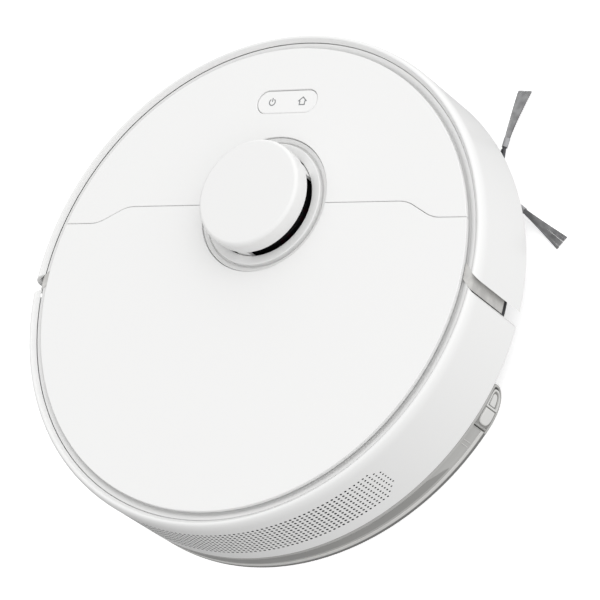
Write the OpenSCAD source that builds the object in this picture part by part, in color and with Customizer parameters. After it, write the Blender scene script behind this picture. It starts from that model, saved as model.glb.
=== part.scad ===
// Robot vacuum and mop with a laser turret. Millimetres.
// X points to the robot's right, Y to its front and Z up.
// The origin is the centre of the flat underside; the wheels reach down to the floor below it.

/* [Body] */
// Diameter of the round body
body_d = 350; // [340:1:356]
// Height of the top covers above the flat underside
deck_z = 70.5; // [70:0.5:73]
// Height of the lower edge of the side walls above the underside
side_z = 11; // [10:0.5:12]
// Clearance between the underside and the floor
clearance = 10; // [9:0.5:10]
// Thickness of the outer side walls
wall = 2.2; // [1.8:0.1:2.4]
// Diameter of the top covers inside the rim
deck_d = 327; // [325:0.5:328]
// Thickness of the two top covers
cover_t = 3; // [2.5:0.1:3]
// How far the bumper travels
bumper_travel = 3.5; // [2:0.5:3.5]

/* [Turret] */
// Distance of the turret's axis in front of the body's centre
turret_y = 50.7; // [50:0.1:52]
// Radius of the turret's cap
cap_r = 38; // [37:0.5:39]
// Height of the turret above the covers
turret_h = 20.6; // [20:0.1:23]
// Height of the open window below the cap
window_h = 7.5; // [6:0.5:8]
// Radius of the round opening in the covers
turret_hole_r = 48.1; // [47.5:0.1:49]

/* [Wheels and brushes] */
// Radius of the drive wheels
wheel_r = 35; // [34:0.5:35]
// Distance of each drive wheel's middle from the centre line
wheel_x = 117; // [116:0.5:118]
// Length of the main brush
brush_l = 168; // [160:1:170]
// Radius of the main brush over its blades
brush_r = 22; // [20:0.5:22]
// Radius that the tips of the side brush sweep
side_brush_r = 70.5; // [66:0.5:71]

/* [Exhaust] */
// Number of slot rows in the exhaust grille
grille_rows = 11; // [7:1:11]
// Number of slots in each row
grille_slots = 9; // [7:2:13]

/* [Hidden] */
$fn = 96;
tiny = 0.1;
gap = 0.3;
body_r = body_d / 2;
deck_r = deck_d / 2;
cover_z = deck_z - cover_t;
far = 400;

// rim between the covers and the outer lip
rim_z = deck_z - 3.4;
rim_t = 2.2;
rim_r = 168.2;
lip_foot_r = 168.8;
lip_top = deck_z - 0.3;
lip_round = 3;
frame_r = 168.5;
frame_ri = 166;
frame_z = 18.6;

// slanted ends of the bumper and of the rear shell, as the value of |x| + y on each cut
bumper_cut = 172;
rear_cut = 161;
cut_x = 100;

// underside
floor_t = 2.5;
flat_r = 148;
tank_y = -51.2;
step_y = tank_y + 0.7;
step_t = 2.5;
rear_floor_z = side_z + 0.2;

// seam between the front cover and the lid
seam_y = turret_y;
seam_side_y = 38.9;
seam_kink_in = 111.3;
seam_kink_out = 133;
seam_gap = 0.25;

// lid hinge, hidden under the front cover
hinge_y = seam_y + 6.25;
hinge_z = deck_z - 5.5;
hinge_xs = [-76, 76];
hinge_pin_r = 1.2;
hinge_hub_r = 2.4;
arm_w = 5;
edge_setback = 2;

// keys
key_y = 124.6;
key_w = 48;
key_d = 17;
key_pivot_z = cover_z + 0.9;

// drive wheels
wheel_w = 22;
wheel_y = -5;
wheel_z = wheel_r - clearance;
axle_r = 3;
pivot_y = 52;
pivot_z = 32;
pivot_r = 3;
gear_x0 = 91.5;
gear_x1 = 104;
spring_x = 97.5;
spring_y = -14;
spring_z0 = 45;
spring_z1 = 58.5;

// main brush
brush_y = 8;
brush_z = brush_r + 0.5 - clearance;
brush_core_r = 10;
tunnel_r = 25.5;
tunnel_t = 2;
tunnel_x = 87.5;
duct_w = 70;
duct_z0 = 21;
duct_z1 = 39;

// side brush
side_hub = [125, 94];
side_angle = 85.3;
side_arm_r = 37.7;

// caster
caster_y = 128;
caster_r = 11;
caster_trail = 5;
caster_w = 14;
caster_z = caster_r - clearance;
fork_r = 18.4;
fork_z = 15;
stem_r = 4;

// dustbin
bin_x = 80;
bin_y0 = -106;
bin_y1 = -32;
bin_z0 = rear_floor_z + floor_t + 0.05;
bin_z1 = 60;
bin_t = 1.8;

// panel under the lid
panel_z0 = 62.4;
panel_z1 = 64.3;

// fan behind the dustbin
fan_z = 38;
fan_r = 21;
fan_y0 = -152;
fan_y1 = -113;
impeller_r = 17;

// battery
battery_x = 58;
battery_y0 = 45;
battery_y1 = 84;
battery_z1 = 41;

// lidar drive
rotor_pulley_r = 28;
motor_pulley_r = 4;
lidar_motor = [20, 98];
belt_z0 = 50.5;
belt_z1 = 53.5;
lidar_floor_z = 44;
post_r = 6;
post_top = 58;
rotor_r = 34;
pillar_angles = [30, 150, 270];

// water tank
tank_z0 = -8;
tank_z1 = side_z - gap;
tank_t = 2;
latch_angle = 22.5;
latch_xy = [body_r * cos(latch_angle), -body_r * sin(latch_angle)];
filler = [-60, -118];
pad_r = 158;
pad_y = -76;

// ---------- shared shapes ----------

// Points of an arc from angle a0 to a1
function arc_points(centre, r, a0, a1, steps) =
    [for (i = [0:steps]) let (a = a0 + (a1 - a0) * i / steps)
        [centre[0] + r * cos(a), centre[1] + r * sin(a)]];

// A tube between two radii and two heights
module tube(r_out, r_in, z0, z1) {
    translate([0, 0, z0])
        difference() {
            cylinder(r = r_out, h = z1 - z0);
            translate([0, 0, -1]) cylinder(r = r_in, h = z1 - z0 + 2);
        }
}

// A disc between two heights
module disc(r, z0, z1) {
    translate([0, 0, z0]) cylinder(r = r, h = z1 - z0);
}

// A box given by its lowest and highest corners
module block(low, high) {
    translate(low) cube(high - low);
}

// A cylinder along X between two places
module rod_x(r, x0, x1, y, z) {
    translate([x0, y, z]) rotate([0, 90, 0]) cylinder(r = r, h = x1 - x0);
}

// A cylinder along Y between two places
module rod_y(r, y0, y1, x, z) {
    translate([x, y1, z]) rotate([90, 0, 0]) cylinder(r = r, h = y1 - y0);
}

// A flat pill shape centred on the origin
module pill(width, depth) {
    square([width - depth, depth], center = true);
    for (side = [-1, 1])
        translate([side * (width - depth) / 2, 0]) circle(d = depth);
}

// The same shape on the robot's left and right
module both_sides() {
    children();
    mirror([1, 0, 0]) children();
}

// Everything in front of the bumper's slanted ends
module bumper_zone() {
    low = -30;
    translate([0, 0, -50])
        linear_extrude(height = 200)
            polygon([
                [-far, low], [-bumper_cut + low, low], [-cut_x, bumper_cut - cut_x],
                [cut_x, bumper_cut - cut_x], [bumper_cut - low, low], [far, low],
                [far, far], [-far, far]
            ]);
}

// Everything behind the rear shell's slanted ends
module rear_zone() {
    low = -60;
    translate([0, 0, -50])
        linear_extrude(height = 200)
            polygon([
                [-rear_cut + low, low], [-cut_x, rear_cut - cut_x],
                [cut_x, rear_cut - cut_x], [rear_cut - low, low],
                [rear_cut - low, -far], [-rear_cut + low, -far]
            ]);
}

// Section of the outer side wall with its lip, in the radius-height plane
module side_section() {
    polygon(concat(
        [[body_r - wall, side_z], [body_r - 0.8, side_z], [body_r, side_z + 0.8]],
        arc_points([body_r - lip_round, lip_top - lip_round], lip_round, 0, 90, 6),
        [[lip_foot_r + 2.5, lip_top], [lip_foot_r, rim_z + gap], [body_r - wall, rim_z + gap]]
    ));
}

// ---------- chassis ----------

// Outline of the dished front part of the bottom housing
module dish_section() {
    polygon([
        [0, 0], [flat_r, 0], [165.5, 17.5], [frame_r, frame_z], [frame_r, 24],
        [frame_ri, 24], [frame_ri, 20.5], [164, 19.5], [flat_r - 1.2, floor_t], [0, floor_t]
    ]);
}

// Outline of the raised rear part, which the water tank slides under
module rear_floor_section() {
    polygon([
        [0, rear_floor_z], [frame_r, rear_floor_z], [frame_r, 24],
        [frame_ri, 24], [frame_ri, rear_floor_z + floor_t], [0, rear_floor_z + floor_t]
    ]);
}

// Places of the screws that hold the bottom housing
screw_places = [
    [-70, 104], [70, 104], [-140, 22], [140, 22], [-62, -40], [62, -40], [-30, 40], [30, 40]
];

// Places and turns of the drop sensors near the edge
cliff_angles = [24, 66, 114, 156];
cliff_r = 138;

board_z = 46;
board_low = [-112, 67];
board_size = [50, 38];
board_posts = [for (x = [3, 47], y = [3, 35]) [board_low[0] + x, board_low[1] + y]];

module bottom_housing() color("#2b2c2e") {
    difference() {
        union() {
            intersection() {
                rotate_extrude() dish_section();
                block([-far, step_y, -1], [far, far, 60]);
            }
            intersection() {
                rotate_extrude() rear_floor_section();
                block([-far, -far, -1], [far, step_y, 60]);
            }
            intersection() {
                disc(frame_ri, 0, rear_floor_z + floor_t);
                block([-130, step_y, 0], [130, step_y + step_t, rear_floor_z + floor_t]);
            }
            // boss that carries the side brush
            translate([side_hub[0], side_hub[1], 0]) disc(13, 4, 20);
            // socket of the caster
            translate([0, caster_y, 0]) {
                disc(22, 0, fork_z + 2.5);
                disc(8, fork_z + 2, fork_z + 12);
            }
            // posts under the main board
            for (p = board_posts)
                translate([p[0], p[1], 0]) disc(2.5, 1, board_z - 0.05);
        }
        // main brush mouth
        block([-tunnel_x, brush_y - tunnel_r, -1], [tunnel_x, brush_y + tunnel_r, 5]);
        // wheel wells
        both_sides() {
            block([104.6, wheel_y - 39, -1], [131, wheel_y + 39, 5]);
            block([90.5, wheel_y - 20, -1], [105, pivot_y + 14, 5]);
        }
        // caster pocket and the bore for its stem
        translate([0, caster_y, 0]) {
            disc(19, -1, fork_z + 0.5);
            disc(stem_r + 0.05, 10, fork_z + 10.5);
        }
        // side brush recess and its shaft
        translate([side_hub[0], side_hub[1], 0]) {
            disc(15, -1, 4);
            disc(3, 3, 20);
            side_gearbox_body(0.25);
        }
        // battery door
        block([-battery_x - 0.5, battery_y0 + 14, -1], [battery_x + 0.5, battery_y1 + 1, 5]);
        // charging contacts
        both_sides() block([26, 130, -1], [38, 136, 5]);
        // drop sensors
        for (a = cliff_angles)
            rotate([0, 0, a]) block([cliff_r - 4, -9, -1], [cliff_r + 4, 9, 5]);
        // screws
        for (p = screw_places)
            translate([p[0], p[1], 0]) {
                disc(3.5, -1, 1.5);
                disc(1.6, 1, 5);
            }
    }
}

// Body of the side brush's gearbox around its output shaft, grown by spread
module side_gearbox_body(spread) {
    low = 10.3 - spread;
    disc(9 + spread, low, 30);
    translate([-15, -10.6, 0]) disc(13 + spread, low, 34);
}

module mid_frame() color("#333438") {
    difference() {
        tube(frame_r, frame_ri, 24, rim_z - rim_t);
        // exhaust opening
        block([-100, -far, 26], [100, -120, 58]);
        // openings in front of the bumper's sensors
        both_sides() block([68, 130, 42], [86, 170, 47]);
    }
}

// The two slanted gaps between the bumper and the rear shell, widened by spread on each side
module end_gaps(spread) {
    reach = 25;
    linear_extrude(height = 60)
        for (side = [-1, 1])
            polygon([
                [side * (rear_cut - spread - reach), reach],
                [side * (bumper_cut + spread - reach), reach],
                [side * (bumper_cut + spread + reach), -reach],
                [side * (rear_cut - spread + reach), -reach]
            ]);
}

// Floor of the groove around the covers, interrupted by the two end seals
module rim_ring() color("#e9e9e8") {
    difference() {
        tube(rim_r, 158, rim_z - rim_t, rim_z);
        intersection() {
            tube(rim_r + 1, deck_r + 0.2, rim_z - 2 * rim_t, rim_z + 1);
            translate([0, 0, 20]) end_gaps(0);
        }
    }
}

module front_region(shift) {
    polygon([
        [-far, seam_side_y + shift], [-seam_kink_out, seam_side_y + shift],
        [-seam_kink_in, seam_y + shift], [seam_kink_in, seam_y + shift],
        [seam_kink_out, seam_side_y + shift], [far, seam_side_y + shift],
        [far, far], [-far, far]
    ]);
}

module front_cover() color("#f4f4f3") {
    difference() {
        union() {
            translate([0, 0, cover_z])
                linear_extrude(height = cover_t)
                    intersection() {
                        circle(r = deck_r);
                        front_region(seam_gap);
                    }
            // foot that rests on the rim
            intersection() {
                tube(162, 159, rim_z + 0.02, cover_z + tiny);
                linear_extrude(height = far) front_region(2);
            }
            // ears that hold the lid's hinge pins
            for (x = hinge_xs)
                for (side = [-1, 1])
                    translate([x + side * (arm_w / 2 + 2), 0, 0])
                        block([-1.5, hinge_y - 2.6, hinge_z - 2.6],
                            [1.5, hinge_y + 2.6, cover_z + tiny]);
        }
        translate([0, turret_y, 0]) disc(turret_hole_r, cover_z - 1, deck_z + 1);
        translate([0, key_y, cover_z - 1])
            linear_extrude(height = cover_t + 2) pill(key_w, key_d);
        for (x = hinge_xs)
            rod_x(hinge_pin_r, x - 10, x + 10, hinge_y, hinge_z);
    }
}

module rear_shell() color("#f2f2f1") {
    row_pitch = (deck_z - 30) / (grille_rows + 2);
    slot_step = 84 / grille_slots;
    difference() {
        union() {
            intersection() {
                rotate_extrude() side_section();
                rear_zone();
            }
            // ribs that fix the shell to the frame
            for (a = [195, 222, 318, 345])
                rotate([0, 0, a])
                    block([frame_r + 0.05, -1.5, 28], [body_r - wall + 0.5, 1.5, 62]);
        }
        for (row = [0:grille_rows - 1])
            for (slot = [0:grille_slots - 1])
                rotate([0, 0, 228 + slot * slot_step + 0.5])
                    rotate_extrude(angle = slot_step - 1)
                        translate([body_r - 2 * wall, 22 + row * row_pitch])
                            square([4 * wall, row_pitch * 0.45]);
    }
}

// Grey infills that close the joints at the bumper's two ends
module end_seals() color("#b9b8b5") {
    seal_r = 171;
    seal_round = 7;
    seal_top = rim_z + 0.05;
    seat_z = rim_z - rim_t + 0.05;
    intersection() {
        rotate_extrude()
            polygon(concat(
                [[frame_r + gap, 27], [seal_r, 27]],
                arc_points([seal_r - seal_round, seal_top - seal_round], seal_round, 0, 90, 6),
                [[deck_r + 0.3, seal_top], [deck_r + 0.3, seat_z], [frame_r + gap, seat_z]]
            ));
        translate([0, 0, 20]) end_gaps(-0.4);
    }
}

module exhaust_foam() color("#3a3b3d") {
    intersection() {
        tube(172.75, frame_r + 0.05, 20, 60);
        rotate_extrude(start = 230, angle = 80) square([200, 100]);
    }
}

// ---------- turret ----------

// Collar in the covers' round hole, with the lower edge of the laser's window
module turret_base() color("#dcdcdb") {
    window_r = 37.1;
    translate([0, turret_y, 0]) {
        tube(turret_hole_r - gap, window_r, cover_z - 3, deck_z - 1.6);
        tube(43, window_r, deck_z - 1.6, deck_z + 0.4);
    }
}

// Cup under the turret that carries the rotor on its post
module lidar_base() color("#3a3b3d") {
    translate([0, turret_y, 0])
        difference() {
            union() {
                disc(42, lidar_floor_z, lidar_floor_z + 2);
                tube(42, 40, lidar_floor_z, cover_z - 3 - tiny);
                disc(post_r, lidar_floor_z, post_top);
                // ears that hang the cup from the front cover
                for (a = [15, 90, 165])
                    rotate([0, 0, a]) block([41, -4, 60], [56, 4, cover_z - 0.05]);
                // arm that carries the motor
                block([8, 30, lidar_floor_z], [32, 58, lidar_floor_z + 2]);
            }
            // gap that the belt passes through
            block([0, 28, lidar_floor_z + 3], [34, 50, 58]);
            // room for the turret's ring
            tube(turret_hole_r, 35, cover_z - 3 - tiny, cover_z + 1);
            translate([lidar_motor[0], lidar_motor[1] - turret_y, 0])
                disc(2.2, lidar_floor_z - 1, lidar_floor_z + 3);
        }
}

module lidar_motor() color("#c2c4c6") {
    translate([lidar_motor[0], lidar_motor[1], 0]) {
        disc(8, 30, lidar_floor_z - tiny);
        disc(6.5, 28.5, 30);
    }
}

// Round belt from the motor pulley to the rotor
module lidar_belt() color("#1d1d1f") {
    belt_t = 1;
    translate([0, 0, belt_z0 + 0.5])
        linear_extrude(height = belt_z1 - belt_z0 - 1)
            difference() {
                belt_outline(belt_t + gap);
                belt_outline(gap);
            }
}

module belt_outline(grow) {
    hull() {
        translate([0, turret_y]) circle(r = rotor_pulley_r + grow, $fn = 72);
        translate(lidar_motor) circle(r = motor_pulley_r + grow, $fn = 48);
    }
}

module lidar_pulley() color("#ededed") {
    translate([lidar_motor[0], lidar_motor[1], 0]) {
        disc(motor_pulley_r, belt_z0, belt_z1);
        disc(motor_pulley_r + 1, belt_z0 - 1, belt_z0);
        disc(motor_pulley_r + 1, belt_z1, belt_z1 + 1);
        disc(1, lidar_floor_z + 1, belt_z0 - 1);
    }
}

// Spinning laser head with its belt groove and window face
module lidar_rotor() color("#242527") {
    eye_angle = 54;
    head_z = belt_z1 + 1.5;
    translate([0, turret_y, 0])
        difference() {
            union() {
                disc(rotor_pulley_r, belt_z0, belt_z1);
                disc(rotor_pulley_r + 1.5, belt_z0 - 1.5, belt_z0);
                disc(rotor_pulley_r + 1.5, belt_z1, head_z);
                disc(rotor_r - 1, head_z, deck_z + window_h - 1);
            }
            // running bore on the post, and clearance over its end
            disc(post_r + 0.05, belt_z0 - 3, post_top + 1);
            disc(post_r - 1.5, post_top, post_top + 3);
            // emitter and receiver eyes
            rotate([0, 0, eye_angle])
                for (x = [-9, 9])
                    rod_y(2.6, -rotor_r - 1, -rotor_r + 6, x, 74);
        }
}

// Cap that presses down a little when the robot runs under furniture
module turret_cover() color("#ececeb") {
    cap_round = 2.6;
    cap_z = deck_z + window_h;
    top_z = deck_z + turret_h;
    translate([0, turret_y, 0]) {
        rotate_extrude()
            difference() {
                polygon(concat(
                    [[0, cap_z + 2], [33, cap_z + 2], [35.5, cap_z], [cap_r, cap_z]],
                    arc_points([cap_r - cap_round, top_z - cap_round], cap_round, 0, 90, 6),
                    [[0, top_z]]
                ));
                translate([-1, cap_z + 4.5]) square([cap_r - 2.5, turret_h - window_h - 7]);
            }
        for (a = pillar_angles)
            rotate([0, 0, a])
                intersection() {
                    tube(36.8, 34.6, cover_z - 2, cap_z + 1);
                    block([20, -5, 0], [40, 5, 100]);
                }
    }
}

// ---------- lid ----------

// Wedge that slants the lid's front edge between two corners of the seam, so that it can swing up
module edge_wedge(p0, p1) {
    overlap = 0.6;
    low = cover_z - tiny;
    high = deck_z + tiny;
    run = p1 - p0;
    translate([p0[0], p0[1], 0])
        rotate([0, 0, atan2(run[1], run[0])])
            translate([-overlap, 0, 0])
                rotate([90, 0, 90])
                    linear_extrude(height = norm(run) + 2 * overlap)
                        polygon([[1, low], [-edge_setback, low], [0.15, high], [1, high]]);
}

module rear_lid() color("#f1f1f0") {
    corners = [
        [-deck_r, seam_side_y], [-seam_kink_out, seam_side_y], [-seam_kink_in, seam_y],
        [seam_kink_in, seam_y], [seam_kink_out, seam_side_y], [deck_r, seam_side_y]
    ];
    difference() {
        union() {
            translate([0, 0, cover_z])
                linear_extrude(height = cover_t)
                    difference() {
                        circle(r = deck_r);
                        front_region(-seam_gap);
                    }
            // stiffening rib under the lid
            difference() {
                translate([0, -20, 0]) tube(122, 120, cover_z - 2.7, cover_z + tiny);
                block([-far, 10, 0], [far, far, 100]);
            }
        }
        translate([0, turret_y, 0]) disc(turret_hole_r, cover_z - 5, deck_z + 1);
        translate([0, -seam_gap, 0])
            for (i = [0:len(corners) - 2])
                edge_wedge(corners[i], corners[i + 1]);
    }
}

// Goosenecks that join the lid to its hinge pins, passing under the front cover's edge
module lid_hinge_arms() color("#dededd") {
    strap = 2.4;
    lean = 20;
    foot_z = -14.6;
    back_y = -11.2;
    flange_l = 14;
    top_z = cover_z - hinge_z - 0.05;
    half = strap / 2 / cos(lean);
    for (x = hinge_xs)
        difference() {
            translate([x - arm_w / 2, hinge_y, hinge_z]) {
                rod_x(hinge_hub_r, 0, arm_w, 0, 0);
                rotate([90, 0, 90])
                    linear_extrude(height = arm_w)
                        polygon([
                            [half, 0],
                            [foot_z * tan(lean) + half, foot_z],
                            [back_y, foot_z],
                            [back_y, top_z - 2],
                            [back_y - flange_l, top_z - 2],
                            [back_y - flange_l, top_z],
                            [back_y + strap, top_z],
                            [back_y + strap, foot_z + strap],
                            [(foot_z + strap) * tan(lean) - half, foot_z + strap],
                            [-half, 0]
                        ]);
            }
            rod_x(hinge_pin_r + 0.05, x - 10, x + 10, hinge_y, hinge_z);
        }
}

module lid_hinge_pins() color("#c6c8ca") {
    for (x = hinge_xs)
        rod_x(hinge_pin_r, x - 7.5, x + 7.5, hinge_y, hinge_z);
}

// Panel under the lid that closes the inside around the dustbin
module bay_panel() color("#3c3d40") {
    difference() {
        disc(frame_ri - 0.5, panel_z0, panel_z1);
        block([-far, 43, 0], [far, far, 100]);
        translate([0, turret_y, 0]) disc(turret_hole_r + 0.7, 0, 100);
        block([-bin_x - 1, bin_y0 - 1, 0], [bin_x + 1, bin_y1 + 1, 100]);
        // notches for the lid's goosenecks
        for (x = hinge_xs)
            block([x - 4, 37, 0], [x + 4, 44, 100]);
    }
    // lip around the dustbin's opening
    difference() {
        block([-bin_x - 2.5, bin_y0 - 2.5, panel_z1 - 3.5], [bin_x + 2.5, bin_y1 + 2.5, panel_z1]);
        block([-bin_x - 1, bin_y0 - 1, 0], [bin_x + 1, bin_y1 + 1, 100]);
    }
}

// ---------- keys and electronics ----------

// Rocking plate with a start key on one side and a return key on the other
module key_plate() color("#f3f3f2") {
    difference() {
        translate([0, key_y, key_pivot_z])
            linear_extrude(height = 1.6) pill(key_w - 1, key_d - 1);
        rod_y(1.05, key_y - 20, key_y + 20, 0, key_pivot_z);
        block([-1.5, key_y - 6.5, cover_z], [1.5, key_y + 6.5, cover_z + 1]);
    }
}

module key_board() color("#2f6b45") {
    difference() {
        union() {
            block([-30, key_y - 12, cover_z - 5], [30, key_y + 12, cover_z - 3.6]);
            for (x = [-16, 16])
                translate([x, key_y, 0]) {
                    block([-3, -3, cover_z - 3.6], [3, 3, cover_z - 1.2]);
                    disc(1.6, cover_z - 1.2, cover_z + 0.1);
                }
            // pivot rod of the key plate and its post
            block([-1, key_y - 6, cover_z - 3.6], [1, key_y + 6, cover_z + 0.4]);
            rod_y(1, key_y - 6, key_y + 6, 0, key_pivot_z);
            // posts up to the front cover
            for (x = [-27.5, 27.5], y = [-9, 9])
                translate([x, key_y + y, 0]) disc(1.8, cover_z - 3.6, cover_z - 0.05);
        }
        // cable hole
        translate([8, key_y, 0]) disc(1.5, cover_z - 6, cover_z - 3);
    }
}

module main_board() color("#1f5f3c") {
    translate([board_low[0], board_low[1], board_z]) {
        cube([board_size[0], board_size[1], 1.6]);
        for (p = [[8, 8, 12], [28, 8, 9], [12, 25, 7], [32, 24, 10]])
            translate([p[0], p[1], 1.6]) cube([p[2], p[2], 1.4]);
        translate([2, 32, 1.6]) cube([26, 4, 6]);
    }
}

module battery_pack() color("#20262e") {
    block([-battery_x, battery_y0, floor_t + 1], [battery_x, battery_y1, battery_z1]);
}

module battery_cover() color("#303134") {
    difference() {
        union() {
            block([-battery_x, battery_y0 + 14.5, 0.2], [battery_x, battery_y1 + 0.5, floor_t]);
            block([-12, battery_y0 + 18, 0.2], [12, battery_y0 + 30, floor_t + 0.6]);
        }
        for (x = [-9:3:9])
            block([x - 0.7, battery_y0 + 20, -1], [x + 0.7, battery_y0 + 28, 1]);
    }
}

module speaker() color("#26272a") {
    translate([88, 114, 0]) {
        disc(11, 44, 48);
        disc(8, 48, 53);
        for (x = [-9.5, 9.5])
            translate([x, 0, 0]) disc(1.3, 47, cover_z - 0.05);
    }
}

// Light gates that notice the bumper moving
module bumper_sensors() color("#1c1c1e") {
    both_sides()
        translate([70, 131, 40])
            difference() {
                union() {
                    cube([14, 12, 9]);
                    // bracket up to the rim
                    translate([0, 8, 0]) cube([14, 4, rim_z - rim_t - 40 - 0.05]);
                }
                translate([-1, 6, 3]) cube([16, 8, 3]);
            }
}

module charging_contacts() color("#c9b98a") {
    both_sides() {
        block([26.4, 130.4, 0.3], [37.6, 135.6, floor_t + 2]);
        rod_x(2, 27, 37, 133, 0.9);
    }
}

module cliff_sensors() color("#17181a") {
    for (a = cliff_angles)
        rotate([0, 0, a])
            difference() {
                block([cliff_r - 3.6, -8.6, 0.4], [cliff_r + 3.6, 8.6, floor_t + 4]);
                for (y = [-4, 4])
                    translate([cliff_r, y, 0]) disc(2, -1, 2.5);
            }
}

module underside_screws() color("#8e9094") {
    for (p = screw_places)
        translate([p[0], p[1], 0])
            difference() {
                union() {
                    disc(3, 0.3, 1.5);
                    disc(1.4, 1.5, 9);
                }
                block([-2, -0.4, -1], [2, 0.4, 0.9]);
                block([-0.4, -2, -1], [0.4, 2, 0.9]);
            }
}

// ---------- bumper ----------

module bumper_shell() color("#f4f4f3") {
    difference() {
        intersection() {
            rotate_extrude() side_section();
            bumper_zone();
        }
        // opening for the front sensor window
        rotate([0, 0, 70])
            rotate_extrude(angle = 40)
                translate([body_r - 2 * wall, 34]) square([4 * wall, 16]);
    }
}

module bumper_window() color("#1b1b1d") {
    rotate([0, 0, 70.1])
        rotate_extrude(angle = 39.8)
            translate([body_r - wall, 34.1]) square([wall - 0.3, 15.8]);
}

// ---------- drive wheels ----------

module tyre() color("#1f1f21") {
    lugs = 24;
    difference() {
        rod_x(wheel_r, wheel_x - wheel_w / 2, wheel_x + wheel_w / 2, wheel_y, wheel_z);
        rod_x(wheel_r - 6, 0, far, wheel_y, wheel_z);
        // tread grooves across the tyre
        for (i = [0:lugs - 1])
            translate([wheel_x, wheel_y, wheel_z])
                rotate([i * 360 / lugs, 0, 0])
                    block([-wheel_w, -1.2, wheel_r - 1.8], [wheel_w, 1.2, wheel_r + 2]);
    }
}

module wheel_hub() color("#5b5d60") {
    spokes = 6;
    x0 = wheel_x - wheel_w / 2;
    x1 = wheel_x + wheel_w / 2;
    difference() {
        union() {
            difference() {
                rod_x(wheel_r - 6, x0, x1, wheel_y, wheel_z);
                rod_x(wheel_r - 9, x0 - 1, x0 + 8, wheel_y, wheel_z);
                rod_x(wheel_r - 9, x1 - 8, x1 + 1, wheel_y, wheel_z);
            }
            rod_x(8, x0, x1, wheel_y, wheel_z);
        }
        rod_x(axle_r + 0.05, 0, far, wheel_y, wheel_z);
        for (i = [0:spokes - 1])
            translate([0, wheel_y, wheel_z])
                rotate([i * 360 / spokes, 0, 0])
                    rod_x(5, 0, far, 0, 17);
    }
}

// Swinging gearbox with its motor, wheel axle and spring seat
module gearbox() color("#4a4c50") {
    difference() {
        union() {
            rod_x(15, gear_x0, gear_x1, wheel_y, wheel_z);
            rod_x(12, gear_x0, gear_x1, pivot_y, pivot_z);
            block([gear_x0, wheel_y, 16], [gear_x1, pivot_y, 38]);
            // motor on the pivot's axis
            rod_x(10.5, 62, gear_x0, pivot_y, pivot_z);
            // spring seat
            block([gear_x0, spring_y - 5, wheel_z], [gear_x1, spring_y + 5, spring_z0]);
            rod_x(axle_r, gear_x1, wheel_x + wheel_w / 2 + 1, wheel_y, wheel_z);
        }
        rod_x(pivot_r + 0.05, gear_x1 - 8, gear_x1 + 8, pivot_y, pivot_z);
    }
}

module suspension_pins() color("#9a9da1") {
    both_sides() {
        rod_x(pivot_r, gear_x1 - 7.5, 109.5, pivot_y, pivot_z);
        block([105, pivot_y - 6, floor_t], [109.5, pivot_y + 6, pivot_z]);
    }
}

module suspension_spring() color("#b4b7ba") {
    coils = 6;
    pitch = (spring_z1 - spring_z0) / coils;
    translate([spring_x, spring_y, spring_z0 + 0.05]) {
        tube(3.9, 3.3, 0, spring_z1 - spring_z0 - 0.1);
        for (i = [0:coils - 1])
            translate([0, 0, i * pitch]) tube(4.5, 3.3, 0, pitch * 0.6);
    }
}

// Arched covers over the drive wheels
module wheel_housings() color("#3b3c3f") {
    arch_r = 39;
    both_sides()
        difference() {
            union() {
                rod_x(arch_r + 1.8, 105.2, 133, wheel_y, wheel_z);
                block([105.2, wheel_y - arch_r - 1.8, floor_t],
                    [133, wheel_y + arch_r + 1.8, wheel_z]);
                // upper seat of the suspension spring
                block([gear_x0, spring_y - 6, spring_z1 + 0.05], [106, spring_y + 6, far]);
            }
            rod_x(arch_r, 100, 131, wheel_y, wheel_z);
            block([100, wheel_y - arch_r, -far], [131, wheel_y + arch_r, wheel_z]);
            block([0, -far, -far], [far, far, floor_t]);
            // flat top, clear of the covers
            block([0, -far, panel_z0 - 0.1], [far, far, 2 * far]);
        }
}

// ---------- caster ----------

module caster_fork() color("#5c5e62") {
    wheel_room = 1.2;
    translate([0, caster_y, 0]) {
        disc(stem_r, fork_z, fork_z + 10);
        difference() {
            disc(fork_r, -1.5, fork_z);
            block([-caster_w / 2 - 0.6, -caster_trail - caster_r - wheel_room, -3],
                [caster_w / 2 + 0.6, -caster_trail + caster_r + wheel_room,
                    caster_z + caster_r + wheel_room]);
            rod_x(1.5, -15, 15, -caster_trail, caster_z);
        }
        rod_x(1.5, -15, 15, -caster_trail, caster_z);
    }
}

module caster_wheel() color("#d9d9d8") {
    difference() {
        rod_x(caster_r, -caster_w / 2, caster_w / 2, caster_y - caster_trail, caster_z);
        rod_x(1.55, -30, 30, caster_y - caster_trail, caster_z);
        for (side = [-1, 1])
            translate([side * caster_w / 2, caster_y - caster_trail, caster_z])
                rotate([0, 90, 0]) tube(8, 4, -2, 2);
    }
}

// ---------- main brush ----------

module brush_tunnel() color("#3e3f43") {
    duct_x = duct_w / 2;
    skirt_y = tunnel_r - 0.5;
    difference() {
        union() {
            rod_x(tunnel_r + tunnel_t, -tunnel_x - 2, tunnel_x + 2, brush_y, brush_z);
            block([-tunnel_x - 2, brush_y - skirt_y - tunnel_t, floor_t],
                [tunnel_x + 2, brush_y + skirt_y + tunnel_t, brush_z]);
            block([-duct_x - 2, bin_y1 + 0.2, duct_z0 - 2], [duct_x + 2, brush_y - 4, duct_z1 + 2]);
        }
        rod_x(tunnel_r, -tunnel_x, tunnel_x, brush_y, brush_z);
        block([-tunnel_x, brush_y - skirt_y, -far], [tunnel_x, brush_y + skirt_y, brush_z]);
        block([-duct_x, -far, duct_z0], [duct_x, brush_y - 8, duct_z1]);
        block([-far, -far, -far], [far, far, floor_t]);
    }
}

module brush_core() color("#c8502e") {
    difference() {
        union() {
            rod_x(brush_core_r, -brush_l / 2, brush_l / 2, brush_y, brush_z);
            rod_x(4, -brush_l / 2 - 2.5, brush_l / 2 + 2.5, brush_y, brush_z);
        }
        rod_x(1.5, brush_l / 2, brush_l, brush_y, brush_z);
    }
}

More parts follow.
